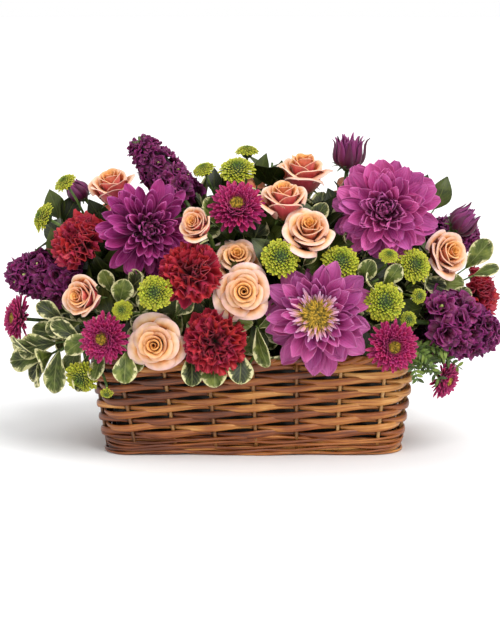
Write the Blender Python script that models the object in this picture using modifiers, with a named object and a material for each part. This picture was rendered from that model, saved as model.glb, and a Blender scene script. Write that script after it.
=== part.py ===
# A basket arrangement of garden flowers, life size, in metres.
# A rectangular willow basket holds a plastic liner and a brick of wet floral foam. Every cut stem
# stands in its own socket in the foam: dahlias, spray roses, carnations, asters, button poms,
# stocks, pittosporum and salal. +X runs along the basket's long side, +Y to its back and +Z up.
# The origin is the middle of the basket's flat underside.

import math

import bpy
import bmesh
from mathutils import Matrix, Vector
from mathutils.bvhtree import BVHTree

MM = 0.001
GAP = 0.3                      # between pieces that touch, in mm like every size below

# The basket: outer sizes at the foot and under the rim
FOOT_LENGTH, FOOT_WIDTH = 307.0, 182.0
RIM_LENGTH, RIM_WIDTH = 332.0, 204.0
CORNER_RADIUS = 34.0
CORNER_STEPS = 5
FOOT_WALE_HEIGHT = 22.0
WALL_TOP = 92.0
WALL_THICKNESS = 9.0
BASE_THICKNESS = 8.0
RIM_THICKNESS = 11.0
RIM_SEAT = 2.2                  # the leaning wall's inner edge stands this much higher
RIM_STAND_OUT = 1.0             # of the rim's middle line past the wall's
BASE_CLEARANCE = 1.0            # the foot wale's inner edge leans in by less than this

# What stands in the basket
LINER_LENGTH, LINER_WIDTH = 276.0, 151.0        # at its floor
LINER_TOP_LENGTH, LINER_TOP_WIDTH = 304.0, 176.0
LINER_CORNER, LINER_TOP_CORNER = CORNER_RADIUS - 8.0, CORNER_RADIUS - 4.0
LINER_THICKNESS = 1.2
LINER_TOP = 93.0
FOAM_TOP = 90.0
FOAM_SLACK = 0.6                                # round the foam, inside the liner
FOAM_CORNER, FOAM_TOP_CORNER = CORNER_RADIUS - 10.0, CORNER_RADIUS - 7.0

# Stems
STEM_SIDES_RESOLUTION = 2                       # eight sides
SOCKET_DEPTH = 28.0
COLLAR = 6.0                                    # straight stretch above the foam
SOCKET_SLACK = 0.45
STEM_LEAN = 0.6                                 # how far a stem leans towards its head, against 1 upright
SIDE_SHOOT = 0.8                                # a side shoot's thickness, as a share of its stem's
# Stems crowd towards the middle of the foam: a head's x times this share gives its entry, and the
# share falls from the low heads to the highest. Entries stay inside the reach.
ENTRY_SHARE_LOW, ENTRY_SHARE_HIGH = 0.74, 0.48
HIGHEST_HEAD = 300.0
ENTRY_DEPTH = 0.86                              # of that share, front to back
ENTRY_REACH_X, ENTRY_REACH_Y = 124.0, 66.0
STEM_RADIUS = {"dahlia": 3.2, "bud": 2.2, "rose": 2.3, "carnation": 2.2, "aster": 1.9,
               "pom": 1.7, "stock": 2.8, "leaf": 1.7}

# Turned outline of each kind of head: how far forward along its axis, and how wide, as shares of
# half the head's width. The first point is where the stem ends.
OUTLINE = {
    "dahlia": ((-0.42, 0.12), (-0.24, 0.66), (-0.02, 0.92), (0.20, 0.78), (0.36, 0.36)),
    "bud": ((-1.05, 0.30), (-0.55, 0.78), (0.10, 0.96), (0.60, 0.66), (1.00, 0.18)),
    "rose": ((-0.80, 0.20), (-0.52, 0.62), (-0.05, 0.90), (0.38, 0.82), (0.62, 0.42)),
    "carnation": ((-1.15, 0.22), (-0.55, 0.34), (-0.22, 0.86), (0.16, 0.92), (0.50, 0.50)),
    "aster": ((-0.40, 0.18), (-0.20, 0.72), (0.06, 0.93), (0.26, 0.60)),
    "pom": ((-0.62, 0.26), (-0.28, 0.80), (0.12, 0.93), (0.50, 0.50)),
    "stock": ((-0.10, 0.40), (0.10, 0.92), (0.55, 0.84), (0.92, 0.46), (1.12, 0.16)),
}

COLOUR = {
    "willow": (0.30, 0.13, 0.05), "liner": (0.02, 0.03, 0.02), "foam": (0.03, 0.12, 0.05),
    "dahlia": (0.42, 0.07, 0.30), "bud": (0.16, 0.02, 0.11), "rose": (0.83, 0.42, 0.24),
    "carnation": (0.46, 0.02, 0.04), "aster": (0.45, 0.02, 0.18), "pom": (0.45, 0.52, 0.05),
    "stock": (0.12, 0.01, 0.07), "pittosporum": (0.10, 0.15, 0.05), "salal": (0.03, 0.06, 0.02),
}

# The planting plan. A head: (x, y, z) of its middle, its width, and the way it faces, as degrees
# right of the front and degrees up from level. "over" is a point that a drooping stem passes above
# the rim, and "root" is where a stem enters the foam when it isn't the nearest place.
SINGLE_BLOOMS = {
    "dahlia_left": ("dahlia", (-105, -88, 231), 100, 12, 8, {}),
    "dahlia_right": ("dahlia", (132, -84, 249), 108, -6, 8, {}),
    "dahlia_front": ("dahlia", (63, -134, 151), 110, -6, 13, {}),
    "dahlia_back_left": ("dahlia", (-88, 98, 214), 104, -158, 32, {}),
    "dahlia_back_right": ("dahlia", (112, 108, 182), 108, 160, 22, {}),
    "dahlia_bud_top": ("bud", (98, -12, 302), 37, 10, 78, {}),
    "dahlia_bud_right": ("bud", (217, -30, 234), 33, 70, 42, {}),
    "dahlia_bud_left": ("bud", (-182, -12, 263), 27, -60, 45, {}),
    "rose_top": ("rose", (52, -28, 287), 59, 15, 78, {}),
    "rose_upper": ("rose", (31, -78, 263), 54, -10, 70, {}),
    "rose_mid_right": ("rose", (55, -107, 233), 56, 5, 44, {}),
    "rose_small": ("rose", (-56, -126, 241), 37, -30, 25, {"root": (-45, -36)}),
    "rose_behind": ("rose", (-16, -99, 204), 51, 0, 40, {}),
    "rose_centre": ("rose", (-9, -135, 175), 59, 0, 12, {}),
    "rose_front_left": ("rose", (-96, -134, 122), 59, -8, 5, {}),
    "rose_left": ("rose", (-171, -98, 164), 44, -35, 15, {}),
    "rose_top_left": ("rose", (-143, -50, 273), 51, -32, 66, {}),
    "rose_right": ("rose", (198, -62, 204), 51, 35, 20, {}),
    "carnation_left": ("carnation", (-176, -66, 216), 57, -40, 32, {}),
    "carnation_centre": ("carnation", (-62, -128, 192), 61, -10, 22, {}),
    "carnation_front": ("carnation", (-38, -128, 124), 61, 0, 6, {}),
    "carnation_right": ("carnation", (236, -10, 154), 54, 66, 15, {}),
    "carnation_back": ("carnation", (12, 126, 128), 62, 178, 10, {}),
    "aster_top": ("aster", (-16, -90, 255), 56, 0, 35, {}),
    "aster_left": ("aster", (-148, -128, 127), 49, -15, 5, {}),
    "aster_far_left": ("aster", (-242, -50, 135), 47, -60, 10, {}),
    "aster_right": ("aster", (138, -134, 120), 51, 10, 5, {}),
    "aster_low_right": ("aster", (195, -88, 78), 40, 50, -15, {"over": (166, -78, 116)}),
}

# Sprays: several heads on one branching stem. The first head is on the main stem.
SPRAYS = {
    "pom_spray_far_left": ("pom", [((-214, -45, 239), 29, -65, 25), ((-191, -46, 274), 23, -50, 50)]),
    "pom_spray_top": ("pom", [((-16, -50, 287), 36, -5, 55), ((-50, -42, 287), 22, -40, 60),
                              ((-6, -22, 304), 23, 0, 80)]),
    "pom_spray_left": ("pom", [((-96, -142, 175), 33, -10, 12), ((-129, -125, 155), 20, -15, 20)]),
    "pom_spray_right": ("pom", [((87, -110, 201), 36, 5, 35), ((27, -122, 207), 36, 5, 25),
                                ((134, -115, 208), 18, 5, 50)]),
    "pom_spray_far_right": ("pom", [((161, -98, 196), 33, 20, 22), ((130, -124, 163), 37, 5, 12),
                                    ((165, -110, 167), 15, 20, 10), ((154, -118, 145), 16, 10, 10)]),
    "pom_spray_low_left": ("pom", [((-172, -106, 84), 33, -20, -20), ((-145, -132, 73), 13, -5, -35)]),
    "pom_spray_back": ("pom", [((80, 130, 114), 35, 165, 5), ((46, 120, 172), 34, 170, 25),
                               ((148, 108, 120), 32, 148, 5)]),
    "aster_spray_back": ("aster", [((-118, 124, 126), 48, -155, 8), ((-30, 122, 192), 50, -175, 28),
                                   ((-60, 132, 138), 46, -175, 10)]),
    "spray_rose_back_left": ("rose", [((-168, 84, 168), 54, -140, 22), ((-150, 60, 232), 50, -142, 42)]),
    "spray_rose_back_right": ("rose", [((44, 94, 224), 56, 172, 38), ((-12, 78, 258), 52, -175, 50),
                                       ((110, 62, 256), 50, 155, 50)]),
}
OVER_THE_RIM = {"pom_spray_low_left": (-166, -90, 124)}

# Stocks: the flowering spike runs from its lowest floret to its tip.
STOCKS = {
    "stock_top": ((-72, -44, 258), (-112, -18, 306), 50),
    "stock_left": ((-182, -40, 172), (-238, -26, 178), 62),
    "stock_right": ((180, -76, 134), (236, -60, 122), 74),
    "stock_back": ((176, 44, 190), (222, 40, 214), 58),
}

# Foliage: (kind, tip of the stem, number of leaves, leaf length, leaf width, over the rim)
FOLIAGE = {
    "pittosporum_low_left": ("pittosporum", (-218, -76, 96), 6, 40, 25, (-164, -46, 114)),
    "pittosporum_front_left": ("pittosporum", (-122, -138, 98), 5, 34, 22, (-112, -98, 126)),
    "pittosporum_front": ("pittosporum", (-14, -142, 86), 6, 34, 22, (4, -100, 112)),
    "pittosporum_right": ("pittosporum", (124, -112, 184), 5, 34, 22, None),
    "pittosporum_far_right": ("pittosporum", (226, -58, 188), 5, 36, 22, None),
    "pittosporum_low_right": ("pittosporum", (176, -122, 88), 5, 30, 15, (152, -98, 112)),
    "salal_left": ("salal", (-206, -22, 222), 5, 44, 27, None),
    "salal_top": ("salal", (20, -18, 292), 5, 40, 24, None),
    "pittosporum_back_left": ("pittosporum", (-196, 96, 104), 6, 42, 26, (-158, 78, 122)),
    "pittosporum_back": ("pittosporum", (56, 146, 86), 6, 38, 24, (62, 100, 112)),
    "pittosporum_back_right": ("pittosporum", (206, 84, 110), 6, 42, 26, (158, 74, 122)),
    "salal_back": ("salal", (40, 40, 270), 5, 42, 25, None),
}
LEAF_THICKNESS = 2.4
LEAF_HEEL = 1.5                                 # how far its root end runs into the stem
LEAF_CLEARANCE = 3.0                            # kept to the flowers and other leaves at its tip
LEAF_FORWARD = 0.75                             # how far it leans along the stem, against 1 outwards
FIRST_LEAF, LEAF_STRETCH = 0.97, 0.84           # its place, as shares of the stem's outer half
TRIES = 4                                       # places looked at for each leaf
MOUND_MIDDLE = (0.0, 0.0, 110.0)
GOLDEN_ANGLE = math.radians(137.5)


def clear_scene():
    for old in list(bpy.data.objects):
        bpy.data.objects.remove(old, do_unlink=True)


def collection(name):
    made = bpy.data.collections.new(name)
    bpy.context.scene.collection.children.link(made)
    return made


def material(name, colour, roughness):
    made = bpy.data.materials.new(name)
    made.use_nodes = True
    shader = made.node_tree.nodes["Principled BSDF"]
    shader.inputs["Base Color"].default_value = (*colour, 1.0)
    shader.inputs["Roughness"].default_value = roughness
    shader.inputs["Metallic"].default_value = 0.0
    return made


def add_object(name, mesh, home, colour, roughness=0.6):
    made = bpy.data.objects.new(name, mesh)
    home.objects.link(made)
    mesh.materials.clear()
    mesh.materials.append(material(name, colour, roughness))
    return made


def facing(azimuth, elevation):
    """Unit vector, azimuth in degrees to the right of the front and elevation up from level."""
    turn, lift = math.radians(azimuth), math.radians(elevation)
    return Vector((math.cos(lift) * math.sin(turn), -math.cos(lift) * math.cos(turn), math.sin(lift)))


def clamp(value, limit):
    return max(-limit, min(limit, value))


def rounded_rectangle(length, width, radius, z):
    """Corner points of a rounded rectangle at height z, anticlockwise from above."""
    points = []
    for corner, (side_x, side_y) in enumerate(((1, 1), (-1, 1), (-1, -1), (1, -1))):
        for step in range(CORNER_STEPS + 1):
            angle = math.radians(90.0 * (corner + step / CORNER_STEPS))
            points.append(Vector((side_x * (length / 2 - radius) + radius * math.cos(angle),
                                  side_y * (width / 2 - radius) + radius * math.sin(angle), z)) * MM)
    return points


def loop_edges(shape, points):
    corners = [shape.verts.new(point) for point in points]
    return [shape.edges.new((corners[i - 1], corner)) for i, corner in enumerate(corners)]


def loft(name, loops, close_first=False, close_last=False):
    """Mesh of the bands between rounded rectangles of (length, width, radius, z)."""
    shape = bmesh.new()
    rings = [loop_edges(shape, rounded_rectangle(*sizes)) for sizes in loops]
    for lower, upper in zip(rings, rings[1:]):
        bmesh.ops.bridge_loops(shape, edges=lower + upper)
    if close_first:
        bmesh.ops.contextual_create(shape, geom=rings[0])
    if close_last:
        bmesh.ops.contextual_create(shape, geom=rings[-1])
    bmesh.ops.recalc_face_normals(shape, faces=shape.faces)
    mesh = bpy.data.meshes.new(name)
    shape.to_mesh(mesh)
    shape.free()
    return mesh


def skin_out(mesh):
    """Turn an open sheet's faces so that they point away from the middle axis."""
    first = mesh.polygons[0]
    if first.normal.dot(Vector((first.center.x, first.center.y, 0.0))) < 0.0:
        mesh.flip_normals()


def shell(name, loops, thickness, home, colour, close_first=False, roughness=0.6):
    """An open loft with its outer skin on the loops, thickened inwards."""
    mesh = loft(name, loops, close_first=close_first)
    skin_out(mesh)
    made = add_object(name, mesh, home, colour, roughness)
    solidify = made.modifiers.new("Thickness", 'SOLIDIFY')
    solidify.thickness = thickness * MM
    solidify.offset = -1.0
    solidify.use_even_offset = True
    return made


def basket_size(z):
    """Outer length and width of the flaring wall at height z."""
    share = z / WALL_TOP
    return (FOOT_LENGTH + (RIM_LENGTH - FOOT_LENGTH) * share, FOOT_WIDTH + (RIM_WIDTH - FOOT_WIDTH) * share)


def make_basket(home):
    willow = COLOUR["willow"]
    inner = 2 * (WALL_THICKNESS + BASE_CLEARANCE + GAP)
    base_loops = [(FOOT_LENGTH - inner, FOOT_WIDTH - inner, CORNER_RADIUS - inner / 2, z)
                  for z in (0.0, BASE_THICKNESS)]
    add_object("basket_base", loft("basket_base", base_loops, True, True), home, willow)

    foot_loops = [(*basket_size(z), CORNER_RADIUS, z) for z in (0.0, FOOT_WALE_HEIGHT)]
    shell("basket_foot_wale", foot_loops, WALL_THICKNESS, home, willow)

    wall_loops = [(*basket_size(z), CORNER_RADIUS, z) for z in (FOOT_WALE_HEIGHT + GAP, WALL_TOP)]
    shell("basket_wall", wall_loops, WALL_THICKNESS, home, willow)

    inset = 2 * RIM_STAND_OUT - WALL_THICKNESS
    rim_line = rounded_rectangle(RIM_LENGTH + inset, RIM_WIDTH + inset, CORNER_RADIUS - 2 * RIM_STAND_OUT,
                                 WALL_TOP + RIM_SEAT + GAP + RIM_THICKNESS / 2)
    rim = tube_mesh("basket_rim", rim_line, [RIM_THICKNESS / 2] * len(rim_line), cyclic=True)
    add_object("basket_rim", rim, home, willow)


def make_liner_and_foam(home):
    floor = BASE_THICKNESS + GAP
    loops = [(LINER_LENGTH, LINER_WIDTH, LINER_CORNER, floor),
             (LINER_TOP_LENGTH, LINER_TOP_WIDTH, LINER_TOP_CORNER, LINER_TOP)]
    shell("plastic_liner", loops, LINER_THICKNESS, home, COLOUR["liner"], close_first=True, roughness=0.4)

    bottom = floor + LINER_THICKNESS + GAP
    shrink = 2 * (LINER_THICKNESS + FOAM_SLACK)
    share = (FOAM_TOP - floor) / (LINER_TOP - floor)
    top_length = LINER_LENGTH + (LINER_TOP_LENGTH - LINER_LENGTH) * share
    top_width = LINER_WIDTH + (LINER_TOP_WIDTH - LINER_WIDTH) * share
    loops = [(LINER_LENGTH - shrink, LINER_WIDTH - shrink, FOAM_CORNER, bottom),
             (top_length - shrink, top_width - shrink, FOAM_TOP_CORNER, FOAM_TOP)]
    return add_object("floral_foam", loft("floral_foam", loops, True, True), home, COLOUR["foam"], 0.9)


def tube_mesh(name, points, radii, cyclic=False):
    """Closed mesh of a bevelled curve through the points (m), with a radius (mm) at each."""
    curve = bpy.data.curves.new(name, 'CURVE')
    curve.dimensions = '3D'
    curve.bevel_depth = MM
    curve.bevel_resolution = STEM_SIDES_RESOLUTION
    curve.use_fill_caps = not cyclic
    spline = curve.splines.new('POLY')
    spline.points.add(len(points) - 1)
    spline.use_cyclic_u = cyclic
    for knot, place, radius in zip(spline.points, points, radii):
        knot.co = (*place, 1.0)
        knot.radius = radius
    line = bpy.data.objects.new(name, curve)
    bpy.context.scene.collection.objects.link(line)
    seen = bpy.context.evaluated_depsgraph_get()
    mesh = bpy.data.meshes.new_from_object(line.evaluated_get(seen))
    bpy.data.objects.remove(line)
    shape = bmesh.new()
    shape.from_mesh(mesh)
    bmesh.ops.remove_doubles(shape, verts=shape.verts, dist=1e-6)
    bmesh.ops.recalc_face_normals(shape, faces=shape.faces)
    shape.to_mesh(mesh)
    shape.free()
    return mesh


def hermite(start, start_pull, end, end_pull, share):
    """Point on the cubic that leaves start along start_pull and reaches end along end_pull."""
    s, s2, s3 = share, share ** 2, share ** 3
    return (start * (2 * s3 - 3 * s2 + 1) + start_pull * (s3 - 2 * s2 + s)
            + end * (3 * s2 - 2 * s3) + end_pull * (s3 - s2))


def foam_entry(place):
    """Where the stem of a head at place enters the foam: nearer the middle for a taller stem."""
    height = (place.z - FOAM_TOP) / (HIGHEST_HEAD - FOAM_TOP)
    share = ENTRY_SHARE_LOW + (ENTRY_SHARE_HIGH - ENTRY_SHARE_LOW) * height
    return Vector((clamp(place.x * share, ENTRY_REACH_X),
                   clamp(place.y * share * ENTRY_DEPTH, ENTRY_REACH_Y), FOAM_TOP))


def stem_line(end, end_way, over=None, root=None):
    """Points (mm) of a stem: down in its socket, straight out of the foam, then a bend to its end."""
    entry = Vector((*root, FOAM_TOP)) if root else foam_entry(end)
    goal = Vector(over) if over else end
    lean = ((goal - entry).normalized() * STEM_LEAN + Vector((0.0, 0.0, 1.0))).normalized()
    foot, collar = entry - lean * SOCKET_DEPTH, entry + lean * COLLAR
    line = [foot, collar]
    stops = [(collar, lean)]
    if over:
        stops.append((goal, (end - collar).normalized()))
    stops.append((end, end_way))
    for (start, start_way), (stop, stop_way) in zip(stops, stops[1:]):
        span = (stop - start).length
        steps = 3 if over else 4
        for step in range(1, steps + 1):
            line.append(hermite(start, start_way * span, stop, stop_way * span, step / steps))
    return line


def head_points(kind, middle, half_width, way, length=None):
    """Points and radii (mm) of a turned head whose axis runs along way."""
    reach = length if length else half_width
    points = [middle + way * reach * along for along, _ in OUTLINE[kind]]
    radii = [half_width * wide for _, wide in OUTLINE[kind]]
    return points, radii


def in_metres(points):
    return [point * MM for point in points]


def bloom_mesh(name, kind, middle, width, way, line_start, length=None, over=None, root=None):
    """One head on its stem. line_start is None for a stem out of the foam, or a fork's (place, way)."""
    points, radii = head_points(kind, middle, width / 2, way, length)
    radius = STEM_RADIUS[kind]
    neck = points[0] - way * radius
    if line_start is None:
        line = stem_line(neck, way, over, root)
    else:
        fork, fork_way = line_start
        span = (neck - fork).length
        radius *= SIDE_SHOOT
        line = [fork] + [hermite(fork, fork_way * span, neck, way * span, step / 3) for step in (1, 2, 3)]
    mesh = tube_mesh(name, in_metres(line + points), [radius] * len(line) + radii)
    return mesh, line


def fuse(body, others):
    """Join other meshes to a body as one solid."""
    workshop = bpy.context.scene.collection
    for number, mesh in enumerate(others):
        tool = bpy.data.objects.new(f"{body.name}_join_{number}", mesh)
        workshop.objects.link(tool)
        union = body.modifiers.new("Join", 'BOOLEAN')
        union.operation = 'UNION'
        union.solver = 'EXACT'
        union.object = tool
        seen = bpy.context.evaluated_depsgraph_get()
        joined = bpy.data.meshes.new_from_object(body.evaluated_get(seen))
        body.modifiers.remove(union)
        body.data = joined
        bpy.data.objects.remove(tool)


def make_single_blooms(home, feet):
    for name, (kind, place, width, azimuth, elevation, extra) in SINGLE_BLOOMS.items():
        mesh, line = bloom_mesh(name, kind, Vector(place), width, facing(azimuth, elevation), None,
                                over=extra.get("over"), root=extra.get("root"))
        add_object(name, mesh, home, COLOUR[kind])
        feet[name] = (line, STEM_RADIUS[kind])


def make_sprays(home, feet):
    for name, (kind, heads) in SPRAYS.items():
        main, line = None, None
        side_shoots = []
        for number, (place, width, azimuth, elevation) in enumerate(heads):
            way = facing(azimuth, elevation)
            if number == 0:
                main, line = bloom_mesh(name, kind, Vector(place), width, way, None,
                                        over=OVER_THE_RIM.get(name))
                continue
            joint = 3 if number % 2 else 2
            fork, onward = line[joint], (line[joint + 1] - line[joint]).normalized()
            side_shoots.append(bloom_mesh(name, kind, Vector(place), width, way, (fork, onward))[0])
        body = add_object(name, main, home, COLOUR[kind])
        fuse(body, side_shoots)
        feet[name] = (line, STEM_RADIUS[kind])


def make_stocks(home, feet):
    for name, (low, tip, width) in STOCKS.items():
        way = Vector(tip) - Vector(low)
        mesh, line = bloom_mesh(name, "stock", Vector(low), width, way.normalized(), None,
                                length=way.length)
        add_object(name, mesh, home, COLOUR["stock"])
        feet[name] = (line, STEM_RADIUS["stock"])


def leaf_mesh(name, root, way, flat, length, width):
    """A leaf blade as a thin lens, pointed at both ends, with its root end at root."""
    side = way.cross(flat).normalized()
    flat = side.cross(way).normalized()
    turn = Matrix((side, flat, way)).transposed().to_4x4()
    sizes = Matrix.Diagonal((width / 2 * MM, LEAF_THICKNESS / 2 * MM, length / 2 * MM, 1.0))
    shape = bmesh.new()
    middle = Matrix.Translation((root + way * (length / 2 - LEAF_HEEL)) * MM)
    bmesh.ops.create_uvsphere(shape, u_segments=4, v_segments=4, radius=1.0, matrix=middle @ turn @ sizes)
    mesh = bpy.data.meshes.new(name)
    shape.to_mesh(mesh)
    shape.free()
    return mesh


def tree_of(mesh):
    return BVHTree.FromPolygons([vertex.co for vertex in mesh.vertices],
                                [polygon.vertices for polygon in mesh.polygons])


def make_foliage(home, feet):
    """Leaves stand in turn round the outer half of each stem, where no flower fills their place."""
    taken = [tree_of(piece.evaluated_get(bpy.context.evaluated_depsgraph_get()).to_mesh())
             for piece in home.objects]
    for name, (kind, tip, count, length, width, over) in FOLIAGE.items():
        tip = Vector(tip)
        way = (tip - Vector(over if over else MOUND_MIDDLE)).normalized()
        radius = STEM_RADIUS["leaf"]
        line = stem_line(tip, way, over)
        stem = tube_mesh(name, in_metres(line), [radius] * len(line))
        body = add_object(name, stem, home, COLOUR[kind])
        leaves = []
        blades = []
        upper = line[-3:]
        for number in range(count * TRIES):
            if len(leaves) == count:
                break
            share = FIRST_LEAF - LEAF_STRETCH * (number // 2) * 2 / (count * TRIES)
            step = 0 if share < 0.5 else 1
            place = upper[step].lerp(upper[step + 1], share * 2 - step)
            along = (upper[2] - upper[1]).normalized()
            across = along.cross(Vector((0.0, 0.0, 1.0))).normalized()
            spin = GOLDEN_ANGLE * number
            outward = across * math.cos(spin) + along.cross(across) * math.sin(spin)
            leaf_way = (along * LEAF_FORWARD + outward).normalized()
            grown = leaf_mesh(name, place, leaf_way, along, length + LEAF_CLEARANCE, width + LEAF_CLEARANCE)
            reach = tree_of(grown)
            if any(reach.overlap(other) for other in taken + blades):
                bpy.data.meshes.remove(grown)
                continue
            blades.append(reach)
            leaves.append(leaf_mesh(name, place, leaf_way, along, length, width))
        fuse(body, leaves)
        taken.append(tree_of(body.data))
        feet[name] = (line, radius)


def cut_sockets(foam, feet, home):
    """A socket in the foam for each stem, a little wider and deeper than the stem."""
    for name, (line, radius) in feet.items():
        way = (line[1] - line[0]).normalized()
        points = in_metres([line[0] - way * GAP, line[1] + way * COLLAR])
        mesh = tube_mesh(f"socket_{name}", points, [radius + SOCKET_SLACK] * 2)
        cutter = bpy.data.objects.new(f"socket_{name}", mesh)
        home.objects.link(cutter)
        cutter.hide_render = True
        cutter.display_type = 'WIRE'
    cut = foam.modifiers.new("Sockets", 'BOOLEAN')
    cut.operation = 'DIFFERENCE'
    cut.solver = 'EXACT'
    cut.operand_type = 'COLLECTION'
    cut.collection = home


def main():
    clear_scene()
    arrangement = collection("flower_basket_arrangement")
    cutters = collection("cutters")
    feet = {}
    make_basket(arrangement)
    foam = make_liner_and_foam(arrangement)
    make_single_blooms(arrangement, feet)
    make_sprays(arrangement, feet)
    make_stocks(arrangement, feet)
    make_foliage(arrangement, feet)
    cut_sockets(foam, feet, cutters)


main()
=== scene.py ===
import math
import random

import bpy
import numpy as np
from mathutils import Matrix, Vector


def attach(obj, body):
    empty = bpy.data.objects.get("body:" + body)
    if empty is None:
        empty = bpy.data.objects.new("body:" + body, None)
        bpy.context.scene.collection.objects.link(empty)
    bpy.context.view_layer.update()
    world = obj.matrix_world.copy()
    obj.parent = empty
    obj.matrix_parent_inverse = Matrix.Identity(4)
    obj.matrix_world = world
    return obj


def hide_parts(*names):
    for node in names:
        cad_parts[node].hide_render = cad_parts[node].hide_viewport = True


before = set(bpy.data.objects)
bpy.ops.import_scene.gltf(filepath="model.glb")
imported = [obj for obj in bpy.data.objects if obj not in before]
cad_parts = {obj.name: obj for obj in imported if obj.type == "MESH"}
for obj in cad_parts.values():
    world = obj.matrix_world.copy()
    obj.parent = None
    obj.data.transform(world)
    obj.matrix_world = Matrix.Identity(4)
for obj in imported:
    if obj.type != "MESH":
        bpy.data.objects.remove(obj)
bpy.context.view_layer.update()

mm = 0.001
goldenAngle = math.radians(137.508)
up = np.array([0.0, 0.0, 1.0])


# Colours, nodes and meshes

def srgb(hexColour):
    # "#rrggbb" to the linear values that Blender works in
    values = [int(hexColour[i:i + 2], 16) / 255 for i in (1, 3, 5)]
    linear = [v / 12.92 if v <= 0.04045 else ((v + 0.055) / 1.055) ** 2.4 for v in values]
    return (*linear, 1.0)


def addNode(tree, kind, *values, out=None, **settings):
    # values fill the sockets in use, in order; a setting is an option of the node, or a socket if its
    # name has a capital. A value that is itself a socket is linked.
    node = tree.nodes.new("ShaderNode" + kind)
    for key, value in settings.items():
        if key.islower():
            setattr(node, key, value)
    sockets = list(zip([socket for socket in node.inputs if socket.enabled], values))
    sockets += [(node.inputs[key], value) for key, value in settings.items() if not key.islower()]
    for socket, value in sockets:
        if isinstance(value, bpy.types.NodeSocket):
            tree.links.new(value, socket)
        else:
            socket.default_value = value
    return node.outputs[out] if out else next(socket for socket in node.outputs if socket.enabled)


def newMaterial(name, **values):
    material = bpy.data.materials.new(name)
    material.use_nodes = True
    shader = material.node_tree.nodes["Principled BSDF"]
    for key, value in values.items():
        shader.inputs[key.replace("_", " ")].default_value = value
    return material, material.node_tree


def fillRamp(socket, stops):
    # stops: (position, hex colour), in order
    ramp = socket.node.color_ramp
    while len(ramp.elements) < len(stops):
        ramp.elements.new(0.5)
    for element, (position, colour) in zip(ramp.elements, stops):
        element.position = position
        element.color = srgb(colour)
    return socket


def shadeWith(tree, colour, height, **relief):
    # the colour and the relief of a material, into its shader
    shader = tree.nodes["Principled BSDF"]
    tree.links.new(colour, shader.inputs["Base Color"])
    tree.links.new(addNode(tree, "Bump", Height=height, **relief), shader.inputs["Normal"])


def newBag():
    # the sheets of one piece, before they become its mesh
    lists = {key: [] for key in ("points", "faces", "uv", "cell", "tone", "layer", "slot", "rims", "lengths")}
    return {**lists, "count": 0, "cells": 0}


def addSheet(bag, points, tone=0.5, layer=0.0, slot=0, closed=False, thick=0.0, length=1.0):
    # points: rows x columns x 3 in mm. Rows run along a petal or rod, columns across or round it.
    # With thick, a second face lies that far below the first, and takes the next material slot.
    rows, columns = points.shape[:2]
    size = rows * columns
    grid = np.arange(size).reshape(rows, columns)
    if closed:
        grid = np.concatenate([grid, grid[:, :1]], axis=1)
    wide = grid.shape[1]
    across, along = np.meshgrid(np.linspace(0, 1, wide), np.linspace(0, 1, rows))
    place = np.stack([across, along], axis=-1)

    def corners(values):
        return np.stack([values[:-1, :-1], values[1:, :-1], values[1:, 1:], values[:-1, 1:]], axis=2)

    faces = corners(grid).reshape(-1, 4)
    uv = corners(place).reshape(-1, 4, 2)
    layers = [(faces, uv, bag["cells"], slot)]
    allPoints = [points.reshape(-1, 3)]
    if thick:
        normal = np.cross(np.gradient(points, axis=0), np.gradient(points, axis=1))
        normal /= np.linalg.norm(normal, axis=2, keepdims=True) + 1e-9
        allPoints.append((points - normal * thick).reshape(-1, 3))
        layers.append((faces[:, ::-1] + size, uv[:, ::-1], bag["cells"] + 1, slot + 1))
        border = np.concatenate([grid[:-1, 0], grid[-1, :-1], grid[:0:-1, -1], grid[0, :0:-1]])
        edge = np.concatenate([place[:-1, 0], place[-1, :-1], place[:0:-1, -1], place[0, :0:-1]])
        after, edgeAfter = np.roll(border, -1), np.roll(edge, -1, axis=0)
        wall = np.stack([border, border + size, after + size, after], axis=1)
        layers.append((wall, np.stack([edge, edge, edgeAfter, edgeAfter], axis=1), bag["cells"], slot + 1))
        rim = np.stack([border, after], axis=1)
        bag["rims"] += [rim + bag["count"], rim + bag["count"] + size]
    for quads, where, cell, material in layers:
        bag["faces"].append(quads + bag["count"])
        bag["uv"].append(where)
        bag["cell"].append(np.full(len(quads), cell))
        bag["slot"].append(np.full(len(quads), material))
    total = size * len(allPoints)
    bag["points"] += allPoints
    bag["tone"].append(np.full(total, tone))
    bag["layer"].append(np.full(total, layer))
    bag["count"] += total
    bag["cells"] += len(allPoints)
    bag["lengths"] += [length] * len(allPoints)


def turnBag(bag, start, matrix):
    # moves every run of points from number start on, by a 4x4 matrix
    for number in range(start, len(bag["points"])):
        bag["points"][number] = bag["points"][number] @ matrix[:3, :3].T + matrix[:3, 3]


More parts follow.
